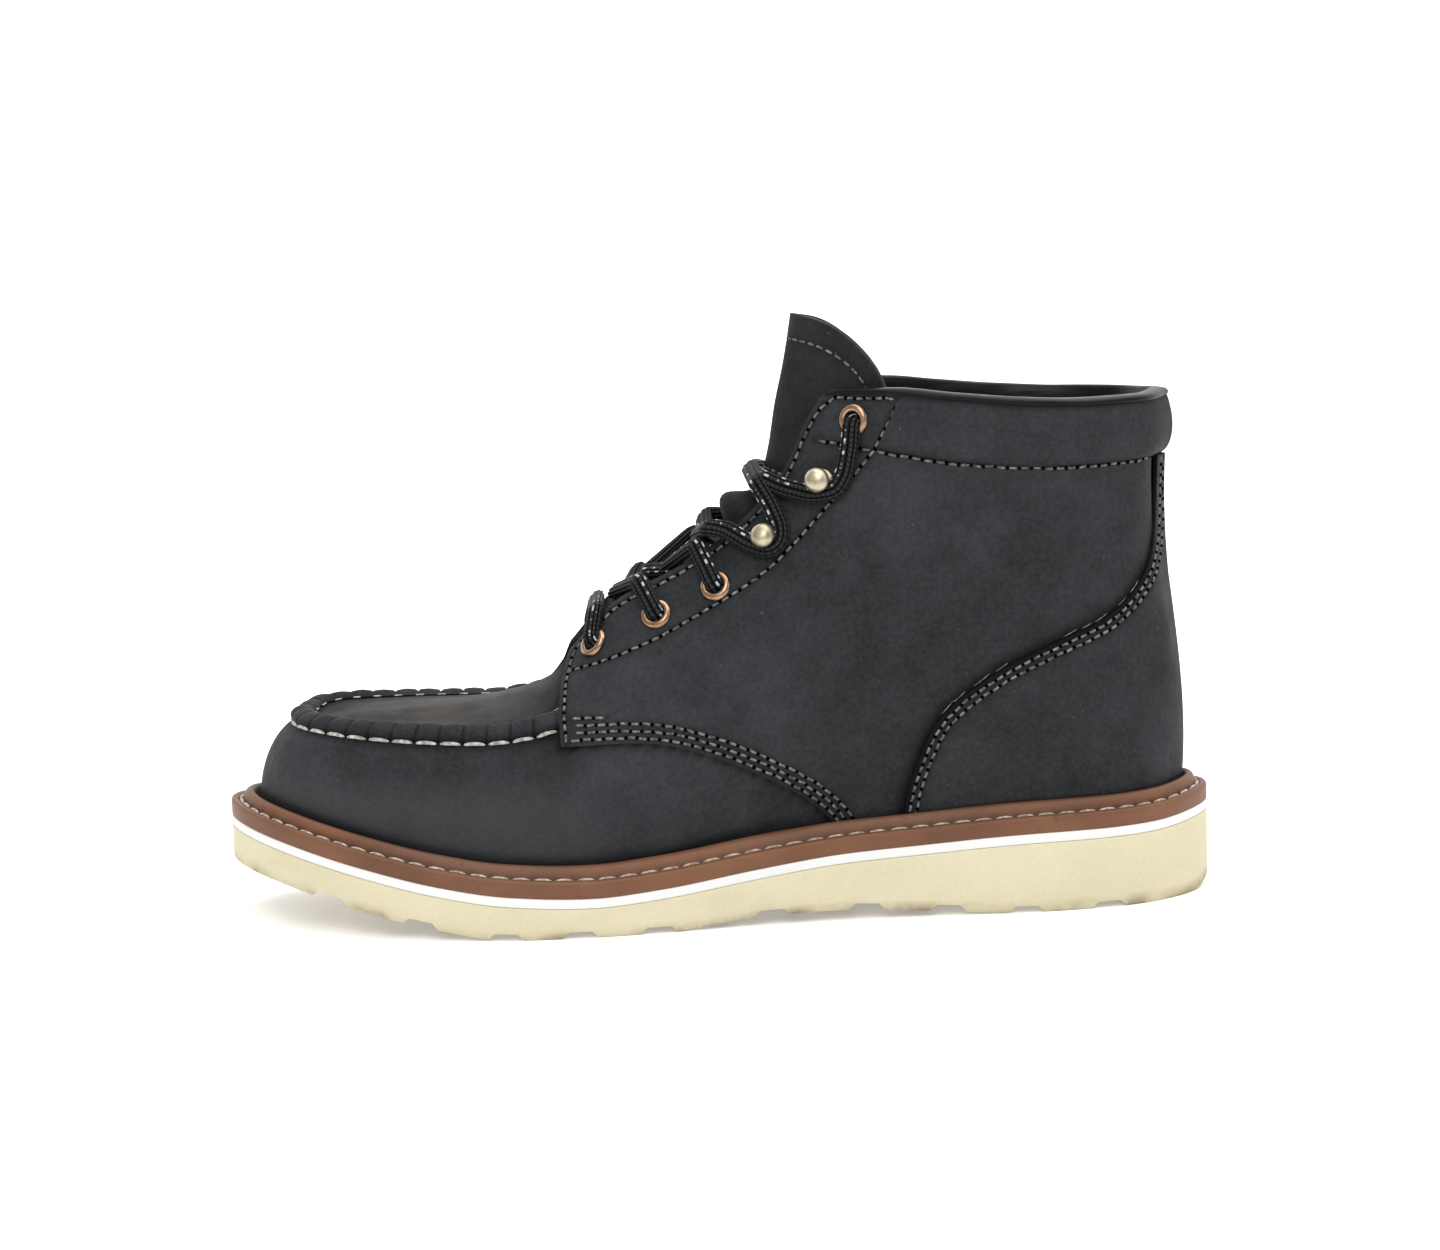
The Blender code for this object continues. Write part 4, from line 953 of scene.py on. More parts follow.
def smooth_run(edge, per_span=14):
    """Dense points on a smooth curve through the points of an edge."""
    p = np.array(edge, float)
    tail = np.vstack([2 * p[0] - p[1], p, 2 * p[-1] - p[-2]])
    leads = 0.5 * (tail[2:] - tail[:-2])
    u = np.arange(per_span)[:, None] / per_span
    spans = [hermite(p[i], p[i + 1], leads[i], leads[i + 1], u) for i in range(len(p) - 1)]
    return np.vstack(spans + [p[-1:]])


def beside(edge, distance):
    """Curve that runs beside an edge, on its left."""
    line = smooth_run(edge)
    ahead = unit(np.gradient(line, axis=0))
    return line + distance * np.column_stack([-ahead[:, 1], ahead[:, 0]])


def on_side(side, spots, lift=QUARTER_TOP, step=0.002, rounds=6):
    """Places and heights on the skin of spots seen from one side, for a surface lifted off it."""
    def seen(at, up):
        return over_skin(at, up, lift)[:, [0, 2]]
    ats, ups = (axis.ravel() for axis in np.meshgrid(side * np.linspace(0.30, 0.985, 150),
                                                     np.linspace(0.0, 1.98, 90)))
    tree = tree_of([(x, z, 0) for x, z in seen(ats, ups)])
    nearest = [tree.find((x, z, 0))[1] for x, z in spots]
    at, up = ats[nearest], ups[nearest]
    for _ in range(rounds):
        here = seen(at, up)
        (ax, az), (bx, bz) = ((seen(at + step, up) - here).T / step, (here - seen(at, up - step)).T / step)
        dx, dz = (np.asarray(spots) - here).T
        area = ax * bz - az * bx
        at = at + np.clip((dx * bz - dz * bx) / area, -0.02, 0.02)
        up = np.clip(up + np.clip((ax * dz - az * dx) / area, -0.06, 0.06), 0.0, 2.0)
    return at, up


def lifted(at, up, lift):
    """Points and normals over the skin."""
    return over_skin(at, up, lift), skin_normal(at, up)


def side_run(side, line, lift=QUARTER_TOP):
    """Points and normals along a line drawn from the side, on a surface lifted off the skin."""
    return lifted(*on_side(side, line, lift), lift)


def edge_on(side, edge, lift=QUARTER_TOP):
    """Rows of places and heights along an edge drawn from the side."""
    return np.column_stack(on_side(side, smooth_run(edge), lift))


def below_rim(places, distance):
    """Rows of places and heights along a run that keeps a distance below the top edge."""
    _, seam, top, _ = meridian(places)
    return np.column_stack([places, 2 - distance / np.linalg.norm(top - seam, axis=1)])


def signed_distance(polygon, spots):
    """Distance of spots from a closed polygon, minus inside it, and the nearest points on it."""
    gap, nearest, inside = np.full(len(spots), np.inf), np.zeros_like(spots), np.zeros(len(spots), bool)
    for start, end in zip(polygon, np.roll(polygon, -1, 0)):
        run = end - start
        if not run.any():
            continue
        foot = start + np.clip((spots - start) @ run / (run @ run), 0, 1)[:, None] * run
        away = np.hypot(*(spots - foot).T)
        closer = away < gap
        gap[closer], nearest[closer] = away[closer], foot[closer]
        if run[1]:
            inside ^= (((start[1] > spots[:, 1]) != (end[1] > spots[:, 1]))
                       & (spots[:, 0] < start[0] + (spots[:, 1] - start[1]) * run[0] / run[1]))
    return np.where(inside, -gap, gap), nearest


def trim(made, polygon, snap):
    """Cut a flat sheet to an outline."""
    bm = bmesh.new()
    bm.from_mesh(made.data)
    verts = list(bm.verts)
    flat = np.array([vert.co[:2] for vert in verts]) / MM
    away, nearest = signed_distance(polygon, flat)
    for i in np.flatnonzero(np.abs(away) < snap):
        verts[i].co = Vector((*nearest[i], 0)) * MM
        away[i] = 0.0
    away = dict(zip(verts, away))
    for edge in list(bm.edges):
        first, last = edge.verts
        if away[first] * away[last] < 0:
            _, vert = bmesh.utils.edge_split(edge, first, away[first] / (away[first] - away[last]))
            away[vert] = 0.0
    bmesh.ops.connect_verts(bm, verts=[vert for vert in bm.verts if away[vert] == 0.0])
    faces = list(bm.faces)
    outside, _ = signed_distance(polygon, np.array([face.calc_center_median()[:2] for face in faces]) / MM)
    bmesh.ops.delete(bm, geom=[face for face, far in zip(faces, outside) if far > 0], context="FACES")
    bm.to_mesh(made.data)
    bm.free()


def panel(name, columns, rows, span, heights, places, lift):
    """Sheet of leather cut flat to an outline of places and heights, then laid a distance over the skin."""
    scale = np.array([SHEET_WIDE, SHEET_HIGH])

    def flat(u, v):
        at, up = span[0] + (span[1] - span[0]) * u, heights[0] + (heights[1] - heights[0]) * v
        return np.column_stack([np.column_stack([at, up]) * scale, np.zeros(len(u))])
    made = grid_piece(name, columns, rows, flat)
    trim(made, np.asarray(places) * scale, SNAP * SHEET_WIDE * (span[1] - span[0]) / columns)
    at, up = (corners_of(made)[:, :2] / MM / scale).T
    put_corners(made, over_skin(at, np.clip(up, 0, 2), lift(at, up)))
    return made


def press(made, away, depth, reach):
    """Draw a surface in where it is near a run."""
    normals = [normal.vector.copy() for normal in made.data.vertex_normals]
    for vertex, normal, gap in zip(made.data.vertices, normals, away):
        if gap < 3 * reach:
            vertex.co -= normal * (depth * MM * math.exp(-(gap / reach) ** 2))
    made.data.update()


def pierced(name, rows, wide):
    """Joined mesh of near-black beads that paint the shade of needle holes, in the gaps between the stitches
    of some rows.
    """
    hole_shades = []
    for starts, ends, normals in rows:
        centre, reach = 0.5 * (ends[:-1] + starts[1:]), 0.5 * NEEDLE_HOLE * unit(starts[1:] - ends[:-1])
        hole_shades.append((centre - reach, centre + reach, normals[1:]))
    return sewn(name, hole_shades, wide, 0.0)


def cut_out(made, cutter):
    finish_with(made, "BOOLEAN", operation="DIFFERENCE", object=cutter, solver="MANIFOLD")


def facing(point, normal, lift=0.0):
    """Matrix with its z axis along an outward normal, lifted off a point."""
    turn = Vector(normal).to_track_quat("Z", "Y").to_matrix().to_4x4()
    return Matrix.Translation(Vector(point + lift * normal) * MM) @ turn


bores = []
for side, _ in SIDES:
    for spot, normal in zip(*side_run(side, [(x, z) for x, z, _ in EYELETS])):
        bpy.ops.object.select_all(action="DESELECT")
        bpy.ops.mesh.primitive_cylinder_add(vertices=28, radius=EYELET_BORE * MM, depth=BORE_DEEP * MM)
        bores.append(bpy.context.object)
        bores[-1].data.transform(facing(spot, normal))
bores = joined("eyelet_bores", *bores)
cut_out(upper, bores)
panel_leather = nubuck("black_nubuck_panels", NUBUCK)
grey_thread = thread("grey_thread", *GREY_THREAD)
hole_shade_finish = thread("needle_hole_painted_shade", *HOLE_SHADE, 0.0)


def mount(made, thick, degrees, node, cutter=None):
    """Thicken a panel inward, bore it, finish it and put it in place of its solid."""
    finish_with(made, "SOLIDIFY", thickness=thick * MM, offset=-1)
    if cutter:
        cut_out(made, cutter)
    smooth(made, degrees)
    panel_leather.coat(made)
    hold(made, "black_leather", node)


def sew_down(threads, hole_shades):
    """Finish and fix the stitches of a panel and the painted shade of their needle holes."""
    grey_thread.coat(threads)
    hole_shade_finish.coat(hole_shades)
    hold(threads, "lace_cord")
    hold(hole_shades, "black_leather")


fine_rows, long_rows = [], []
for side, label in SIDES:
    low_edge, front_edge, seam_edge, cuff_edge, counter_edge = (
        edge_on(side, edge) for edge in (QUARTER_LOWER, QUARTER_FRONT, COLLAR_SEAM, CUFF_FRONT, COUNTER_EDGE))
    front_edge = front_edge[:FRONT_POINTS]
    places = np.vstack([[(low_edge[0, 0], PAST_FOOT)], low_edge, front_edge,
                        [(front_edge[-1, 0] + side * TOP_SLANT, PAST_TOP), (cuff_edge[-1, 0], PAST_TOP)],
                        cuff_edge[::-1], seam_edge[::-1],
                        [(side * QUARTER_BACK, seam_edge[0, 1]), (side * QUARTER_BACK, PAST_FOOT)]])
    quarter = panel(f"quarter_panel_{label}", 236, 122, sorted(side * end for end in QUARTER_SPAN),
                    (0.0, 2.0), places, lambda at, up: QUARTER_TOP)
    front = np.column_stack(on_side(side, beside(QUARTER_FRONT, FRONT_ROW)[:FRONT_ROW_POINTS]))
    throat = below_rim(side * np.linspace(*THROAT_SPAN, 160), THROAT_ROW)
    rim = below_rim(side * np.linspace(COLLAR_CORNER, abs(cuff_edge[-1, 0]) - RIM_BACK, 30), RIM_ROW)
    lower = [beside(QUARTER_LOWER, distance) for distance in (*LOWER_ROWS, SHORT_ROW)]
    lower[-1] = lower[-1][lower[-1][:, 0] > SHORT_ROW_X]
    inner = [side_run(side, line[line[:, 0] < LOWER_ROWS_X]) for line in lower]
    inner.append(lifted(*np.vstack([front, throat, rim]).T, QUARTER_TOP))
    outer = [side_run(side, smooth_run(row)) for row in (EYESTAY, COLLAR_TAIL)]
    raw_edges = [over_skin(*edge.T, QUARTER_TOP) for edge in (low_edge, front_edge)]
    raw_edges.append(over_skin(side * np.linspace(*RAW_SPAN, 300), 2.0, QUARTER_TOP))
    by_edge, by_row = away_from(quarter, raw_edges), away_from(quarter, [run for run, _ in inner + outer])
    by_counter = away_from(quarter, [over_skin(*counter_edge.T, QUARTER_TOP)])
    press(quarter, by_edge, *EDGE_PRESS)
    press(quarter, by_row, *ROW_PRESS)
    # Dirt and painted shade by the raw edges and stitch rows, and painted shade beside the counter's edge.
    keep_soil_and_shade(quarter, halo(by_edge, *EDGE_DIRT_AND_SHADE) + halo(by_row, *ROW_DIRT_AND_SHADE) + halo(by_counter, *COUNTER_SHADE))
    mount(quarter, QUARTER_SHEET, 45, f"quarter_{label}", bores)
    fine_rows += [paced(*run, FINE_PITCH, FINE_STITCH, FINE_SLIP) for run in inner]
    long_rows += [paced(*run, LONG_PITCH, LONG_STITCH, FINE_SLIP) for run in outer]
bpy.data.objects.remove(bores)
vamp_runs = [beside_roll(whole_roll, foot, 0.0, 0.0)[0] for foot in (0, 1)]
vamp_runs.append(welt_point(ring, 1.0, WELT_BEAD))
lower_runs, front_runs = ([side_run(side, smooth_run(edge), GAP)[0] for side, _ in SIDES]
                          for edge in (QUARTER_LOWER, QUARTER_FRONT[:4]))
# Painted shade on the vamp beside the roll and the welt, and under and before the quarters' edges.
keep_soil_and_shade(upper, halo(away_from(upper, vamp_runs), *ROLL_SHADE)
       + halo(away_from(upper, lower_runs + front_runs), *PANEL_SHADE)
       + halo(away_from(upper, front_runs), *FRONT_SHADE))
sew_down(sewn("quarter_stitches", fine_rows + long_rows, FINE_THREAD, FINE_DIP),
         joined("quarter_needle_hole_shade", pierced("fine_gap_shade", fine_rows, FINE_HOLE),
                pierced("long_gap_shade", long_rows, LONG_HOLE)))


# Counter: a heel panel of the same leather over both quarters, narrowing to a strip at the back.
# Two rows of stitches follow its raw edge, and a few fibres of the edge have frayed.
COUNTER_PROUD, COUNTER_SHEET = 0.2, 1.15
COUNTER_LIFT = COUNTER_THICK + GAP + COUNTER_PROUD
COUNTER_SPAN, COUNTER_HEIGHTS = (0.60, 1.40), (0.0, 1.8)
COUNTER_ROWS, COUNTER_PITCH, COUNTER_STITCH = (1.6, 3.7), 3.2, 2.75
STRIP_ROWS_TO = 0.9935                           # keeps the rows off the middle of the strip
COUNTER_PRESS = (0.4, 0.7)
# Reach and strength of the dirt and painted shade by the counter's edge and by its rows.
COUNTER_DIRT_AND_SHADE, COUNTER_ROW_DIRT_AND_SHADE = (1.4, 1.0), (1.5, 0.5)
ROUND_HEEL = 2.0                 # from a medial place to the same place counted round the heel
# Frayed fibres along the raw edge: place along it, length in steps of its curve, lift of the free end.
FRAYS = np.array(((0.33, 4, 0.2), (0.36, 3, 0.6), (0.40, 4, 0.1), (0.44, 3, 0.5), (0.56, 4, 0.2),
                  (0.60, 3, 0.7), (0.63, 4, 0.3), (0.70, 3, 0.5), (0.74, 4, 0.2)))
FRAY_OFF, FRAY_THICK, FRAY_RISE = 0.7, 0.3, (0, 0, 0.6)


def counter_run(side, distance):
    """Points and normals beside the edge, kept off the middle of the strip at the back."""
    at, up = on_side(side, beside(COUNTER_EDGE, distance), COUNTER_LIFT)
    return lifted(side * np.minimum(np.abs(at), STRIP_ROWS_TO), up, COUNTER_LIFT)


counter_edges = [edge_on(side, COUNTER_EDGE, COUNTER_LIFT) for side, _ in SIDES]
counter_edges[1][:, 0] += ROUND_HEEL
places = np.vstack([[(counter_edges[0][0, 0], PAST_FOOT)], counter_edges[0], counter_edges[1][::-1],
                    [(counter_edges[1][0, 0], PAST_FOOT)]])
counter = panel("heel_counter", 290, 112, COUNTER_SPAN, COUNTER_HEIGHTS, places, lambda at, up: COUNTER_LIFT)
counter_runs = [counter_run(side, distance) for side, _ in SIDES for distance in COUNTER_ROWS]
by_edge = away_from(counter, [over_skin(*edge.T, COUNTER_LIFT) for edge in counter_edges])
by_row = away_from(counter, [run for run, _ in counter_runs])
press(counter, by_edge, *COUNTER_PRESS)
press(counter, by_row, *ROW_PRESS)
keep_soil_and_shade(counter, halo(by_edge, *COUNTER_DIRT_AND_SHADE) + halo(by_row, *COUNTER_ROW_DIRT_AND_SHADE))
mount(counter, COUNTER_SHEET, 45, "counter")
counter_rows = [paced(*run, COUNTER_PITCH, COUNTER_STITCH, FINE_SLIP) for run in counter_runs]
fray_run, fray_normals = side_run(LATERAL, beside(COUNTER_EDGE, -FRAY_OFF), COUNTER_LIFT)
fray_starts = (FRAYS[:, 0] * len(fray_run)).astype(int)
fray_ends = fray_starts + FRAYS[:, 1].astype(int)
frays = (fray_run[fray_starts], fray_run[fray_ends] + FRAYS[:, 2:] * fray_normals[fray_ends] + FRAY_RISE,
         fray_normals[fray_starts])
sew_down(joined("counter_stitches", sewn("counter_rows", counter_rows, FINE_THREAD, FINE_DIP),
                sewn("counter_frays", [frays], FRAY_THICK)),
         pierced("counter_needle_hole_shade", counter_rows, FINE_HOLE))


# Collar cuff: a padded band of the same leather round the ankle, sewn to the quarters along the
# collar seam and turned in under the binding.
CUFF_SWELL, CUFF_HEIGHT, CUFF_CROWN = 3.0, 18.8, 0.8
CUFF_FOOT, CUFF_STEP = 0.9, 1.0                  # lift at the seam, and the step up from it
CUFF_SWELLS = (0.725, 0.80)                      # places where the padding sets in
CUFF_SPAN, CUFF_HEIGHTS, CUFF_SHEET = (0.66, 1.34), (1.45, 2.0), 0.6
CUFF_PITCH, CUFF_STITCH, CUFF_ROW_LIFT, CUFF_DIP = 3.7, 2.9, 2.1, 0.2
# Reach and strength of the painted shade along the collar seam and under the rim.
CUFF_SEAM_SHADE, CUFF_RIM_SHADE = (1.8, 0.6), (1.7, 1.0)
seam_height = monotone(COLLAR_SEAM, 1)


def cuff_lift(at, up):
    """Lift of the padded band: a step at its seam and a crown between seam and rim."""
    points = skin(at, np.clip(up, 0, 2))
    rise = np.clip(points[:, 2] - seam_height(points[:, 0]), 0, None)
    bulge = np.sin(math.pi * np.clip(rise / CUFF_HEIGHT, 0, 1) ** CUFF_CROWN) ** CUFF_CROWN
    return (CUFF_FOOT + CUFF_STEP * (1 - np.exp(-rise / CUFF_STEP))
            + CUFF_SWELL * bulge * ease(*CUFF_SWELLS, 1 - np.abs(at - 1)))


cuff_edges = []
for side, _ in SIDES:
    seam_edge, front_edge = (edge_on(side, edge) for edge in (COLLAR_SEAM, CUFF_FRONT))
    cuff_edges.append(np.vstack([seam_edge, front_edge[1:], [(front_edge[-1, 0], PAST_TOP)]]))
cuff_edges[1][:, 0] += ROUND_HEEL
cuff = panel("padded_cuff", 260, 44, CUFF_SPAN, CUFF_HEIGHTS, np.vstack([cuff_edges[0], cuff_edges[1][::-1]]),
             cuff_lift)
cuff_runs = [side_run(side, smooth_run(COLLAR_SEAM), CUFF_ROW_LIFT) for side, _ in SIDES]
cuff_rim = over_skin(np.linspace(COLLAR_CORNER, 2 - COLLAR_CORNER, 400), 2.0, QUARTER_TOP)
# Painted shade along the collar seam and where the band turns in under the binding.
keep_soil_and_shade(cuff, halo(away_from(cuff, [run for run, _ in cuff_runs]), *CUFF_SEAM_SHADE)
       + halo(away_from(cuff, [cuff_rim]), *CUFF_RIM_SHADE))
mount(cuff, CUFF_SHEET, 50, "collar_cuff")
cuff_rows = [paced(*run, CUFF_PITCH, CUFF_STITCH, FINE_SLIP) for run in cuff_runs]
sew_down(sewn("collar_stitches", cuff_rows, FINE_THREAD, CUFF_DIP),
         pierced("collar_needle_hole_shade", cuff_rows, LONG_HOLE))


# Collar binding: a strip of smooth black leather turned over the rim and sewn through.
# It is glossier than the panels and a little wrinkled by the turn.
# Section of the binding: distance out from the skin, height over the rim.
BINDING_SECTION = ((1.7, -0.7), (2.2, -0.75), (2.45, -0.4), (2.4, 0.2), (2.0, 0.75), (1.1, 1.15),
                   (-1.4, 1.25), (-2.6, 0.9), (-3.1, 0.1), (-3.2, -5.0), (-2.3, -5.0), (-2.2, 0.1),
                   (-1.2, 0.4), (1.2, 0.4), (1.7, 0.1))
BINDING_FROM = COLLAR_CORNER - 0.004
BINDING_DARK, BINDING_PALE = (0.002, 0.002, 0.003), (0.008, 0.008, 0.009)


def binding_ring(u, v):
    """Binding round the rim: u runs along it, v round its section."""
    at = BINDING_FROM + (2 - 2 * BINDING_FROM) * u
    rim = skin(at, 2.0)
    out, up = along_corners(BINDING_SECTION, v)
    return rim + out[:, None] * skin_normal(at, 2.0) + up[:, None] * unit(rim - skin(at, 1.98))


binding = grid_piece("rim_binding", 260, 2 * len(BINDING_SECTION), binding_ring)
weld(binding)
close_ends(binding)
smooth(binding, 50)
gloss = Finish("black_binding_leather", Specular_IOR_Level=0.12)
wrinkle = gloss.where.stretched((70, 70, 260)).noise(1.0, 4)
gloss.set(Base_Color=wrinkle.tint(BINDING_DARK, BINDING_PALE), Roughness=0.22 + wrinkle * 0.3,
          Normal=wrinkle.bump(0.7, 0.7))
gloss.coat(binding)
hold(binding, "black_binding", "collar_binding")


# Tongue: a soft sheet of black leather behind the laces, sewn in at the vamp and standing up past
# the collar. It is hemmed along the top and pushed out between the laces.
# Sections of the tongue: place up it, x and z of its middle, half its width, fall of its sides.
TONGUE = ((0.00, 56.0, 65.0, 20, 7), (0.10, 44.0, 76.0, 21, 7), (0.24, 28.0, 93.0, 22, 8),
          (0.38, 9.0, 104.5, 23, 9), (0.50, -7.0, 117.0, 24, 12), (0.60, -15.5, 129.0, 25, 22),
          (0.70, -19.5, 142.0, 26, 31), (0.80, -21.8, 155.0, 27, 43), (0.90, -25.0, 169.0, 28, 46),
          (1.00, -27.6, 183.5, 29, 42))
TONGUE_THICK, TONGUE_CORNER, TONGUE_ROUND, TONGUE_TONE = 3.0, 0.34, 0.7, 0.62
# Bulges: place up the tongue, spread and height.
TONGUE_BULGES, BULGE_WIDE = ((0.385, 0.026, 3.5), (0.54, 0.036, 8.4)), 0.6
TONGUE_ROWS = ((0.948, 0.86), (0.655, 0.7))      # place up the tongue, share of its width
TONGUE_DIP, STITCH_SINK = 0.2, 0.15
# Depth and reach of the press along the rows, then reach and strength of the dirt and painted shade beside
# them.
TONGUE_PRESS, TONGUE_DIRT_AND_SHADE = (0.4, 1.2), (2.0, 0.5)
tongue_read = [monotone(TONGUE, column) for column in range(1, 5)]


def tongue_point(share, across):
    """Points of the tongue by the share of its height and of its half width."""
    here = share * (1 - TONGUE_CORNER * np.abs(across) ** 5)
    x, z, half, fall = (column(here) for column in tongue_read)
    ahead = unit(np.column_stack([column(here + 0.01) - column(here - 0.01) for column in tongue_read[:2]]))
    swell = sum(halo(here - at, width, height) for at, width, height in TONGUE_BULGES)
    drop = fall * across ** 2 - swell * np.exp(-(across / BULGE_WIDE) ** 4)
    return np.column_stack([x - ahead[:, 1] * drop, middle(x) + half * across, z + ahead[:, 0] * drop])


def tongue_run(share, half):
    """Points and normals of a row of stitches across the tongue."""
    across = np.linspace(-half, half, 160)
    shares = np.full(len(across), share)
    points = tongue_point(shares, across)
    normals = unit(np.cross(tongue_point(shares, across + 0.01) - points,
                            tongue_point(shares + 0.005, across) - points))
    return points + (0.5 * TONGUE_THICK - STITCH_SINK) * normals, normals


tongue = grid_piece("tongue_leather", 56, 170, lambda u, v: tongue_point(v, 2 * u - 1))
tongue_runs = [tongue_run(*row) for row in TONGUE_ROWS]
by_row = away_from(tongue, [run for run, _ in tongue_runs])
press(tongue, by_row, *TONGUE_PRESS)
keep_soil_and_shade(tongue, halo(by_row, *TONGUE_DIRT_AND_SHADE))
finish_with(tongue, "SOLIDIFY", thickness=TONGUE_THICK * MM, offset=0)
finish_with(tongue, "BEVEL", width=TONGUE_ROUND * MM, segments=2, limit_method="ANGLE",
            angle_limit=math.radians(60))
smooth(tongue, 50)
tongue_leather = nubuck("black_nubuck_tongue", shaded(NUBUCK, TONGUE_TONE))
tongue_leather.coat(tongue)
hold(tongue, "black_leather", "tongue")
tongue_thread = sewn("tongue_stitches", [paced(*run, LONG_PITCH, LONG_STITCH) for run in tongue_runs],
                     FINE_THREAD, TONGUE_DIP)
grey_thread.coat(tongue_thread)
hold(tongue_thread, "lace_cord")


# Eyelets: rolled rings of antiqued copper, four on each side.
# Each is set through a bore in the eyestay, with its barrel turned over on the outside.
# Section of an eyelet: radius, height over its seat.
EYELET_SECTION = ((2.45, -3.4), (2.5, 0.2), (2.75, 0.75), (3.3, 1.05), (4.0, 0.98), (4.6, 0.6), (4.9, 0.0),
                  (4.7, -0.2), (2.85, -0.2), (2.8, -3.4))
COPPER_DARK, COPPER_PALE, COPPER_STAIN = (0.25, 0.148, 0.088), (0.405, 0.258, 0.165), (0.12, 0.070, 0.045)
COPPER_ROUGH = 0.27


def turned(name, profile, closed, steps=40):
    """Profile of radii and heights turned about z."""
    def place(u, v):
        radius, height = along_corners(profile, v, closed)
        return np.column_stack([radius * np.cos(2 * math.pi * u), radius * np.sin(2 * math.pi * u), height])
    made = grid_piece(name, steps, 2 * (len(profile) if closed else len(profile) - 1), place)
    weld(made, distance=0.005)
    smooth(made)
    return made


def fittings(name, places, profile, closed, metal, slot):
    """Metal fittings on both sides, each set on the panel at its seat."""
    for side, label in SIDES:
        spots, normals = side_run(side, [(x, z) for x, z, _ in places])
        for i, (_, _, seat) in enumerate(places):
            made = turned(f"{name}_metal_{label}_{i + 1}", profile, closed)
            made.data.transform(facing(spots[i], normals[i], seat))
            metal.coat(made)
            hold(made, slot, f"{name}_{label}_{i + 1}")


def old_metal(name, dark, pale, tarnish, roughness):
    """Metal rubbed pale in places and stained in others."""
    made = Finish(name, Metallic=1.0)
    rub = made.where.noise(180, 3).step(0.3, 0.7)
    stain = made.where.noise(420, 3).step(0.58, 0.8)
    made.set(Base_Color=(stain * 0.35).tint(rub.tint(dark, pale), tarnish),
             Roughness=roughness + stain * 0.15, Normal=made.where.noise(900, 2).bump(0.015, 0.3))
    return made


copper = old_metal("antique_copper", COPPER_DARK, COPPER_PALE, COPPER_STAIN, COPPER_ROUGH)
fittings("eyelet", EYELETS, EYELET_SECTION, True, copper, "antique_copper")


# Lace studs: domed heads of antiqued brass on short necks, two on each side above the eyelets.
# Each is riveted through the eyestay by its foot, and the lace runs round its neck.
STUDS = ((-16.4, 115.9, 0.9), (-33.1, 133.4, 0.7))
STUD_SECTION = ((0.0, 7.2), (1.2, 7.1), (2.4, 6.7), (3.3, 5.9), (3.8, 4.9), (3.85, 4.2), (3.6, 3.5),
                (2.9, 3.0), (2.1, 2.8), (2.1, 0.9), (3.9, 0.7), (4.1, 0.35), (4.1, 0.0), (0.0, 0.0))
BRASS_DARK, BRASS_PALE, BRASS_STAIN = (0.36, 0.31, 0.21), (0.56, 0.51, 0.38), (0.17, 0.13, 0.08)
BRASS_ROUGH = 0.40
brass = old_metal("antique_brass", BRASS_DARK, BRASS_PALE, BRASS_STAIN, BRASS_ROUGH)
fittings("lace_stud", STUDS, STUD_SECTION, False, brass, "antique_brass")


# Laces: one oval braided cord in black with a white tracer, laced through both sides.
# A bar joins the lowest eyelets; both ends stop hidden behind the top eyelets.
LACE_WIDE, LACE_THICK, LACE_RIBS, LACE_SQUARE = 5.7, 3.7, 5, 0.85
RIB_FLOOR, RIB_RISE = 0.89, 0.15                 # shares of the cord's size
LACE_STEP, LACE_SOFT = 0.7, 1.6
LACE_SLOPE = math.radians(42)
OVER_TONGUE = np.array([math.sin(LACE_SLOPE), 0.0, math.cos(LACE_SLOPE)])
# Turns over the throat edge, from the bar up to the lower stud: x and z from the side, lift over the edge.
LACE_TURNS = ((34.5, 93.5, 2.0), (21.6, 101.4, 1.8), (3.0, 112.0, 3.2), (-2.0, 115.5, 5.6))
# Crossings over the tongue: place up the tongue and lift over it; the second half of the lace lies higher.
LACE_CROSSINGS, LACE_OVERLAP = ((0.25, 3.3), (0.325, 3.5), (0.445, 3.9)), 3.3
# Runs over the panel: x and z from the side, lift over the leather.
STUD_LOOP = ((-5.6, 117.8, 3.2), (-12.0, 114.3, 2.5), (-16.9, 112.9, 2.3), (-20.1, 114.6, 2.3),
             (-20.9, 118.8, 2.4), (-18.7, 125.6, 2.9))
TOP_LOOP = ((-22.6, 131.2, 3.0), (-31.0, 129.6, 2.4), (-37.4, 130.8, 2.4), (-40.0, 135.8, 2.4),
            (-42.2, 144.0, 2.6), (-43.3, 149.6, 2.2))
HIGH_TURNS = ((-15.0, 132.0, 4.6), (-18.5, 131.5, 3.8))     # turns of the crossing between the studs
# Way into an eyelet: x and z from its middle, lift over the leather.
EYELET_DIVE = ((0.0, 0.0, 1.6), (-0.3, -0.3, -2.5), (-1.0, -0.6, -6.5))
LACE_EMERGES = 0.65              # share of the way to the next turn where it comes out from under the edge
UNDER_EDGE, BEHIND_EDGE = 3.2, 4.5
BRAID_ROW, FLECK_ROW, STRAND_LEAN = 1.5, 3.9, 1.2
TRACERS = ((3.0, 0.0), (4.0, 0.5))               # rib that it follows, share of a row that it is shifted
# Black of the braid, the painted highlight on its ribs, and the white of the tracer.
BRAID_DARK, BRAID_HIGHLIGHT, TRACER_WHITE = (0.0012, 0.0012, 0.0015), (0.030, 0.030, 0.032), (0.46, 0.47, 0.49)


def on_panel(side, spots):
    """Points and normals over the panel, from x, z and lift."""
    at, up = on_side(side, [spot[:2] for spot in spots])
    return list(zip(*lifted(at, up, QUARTER_TOP + np.array([spot[2] for spot in spots]))))


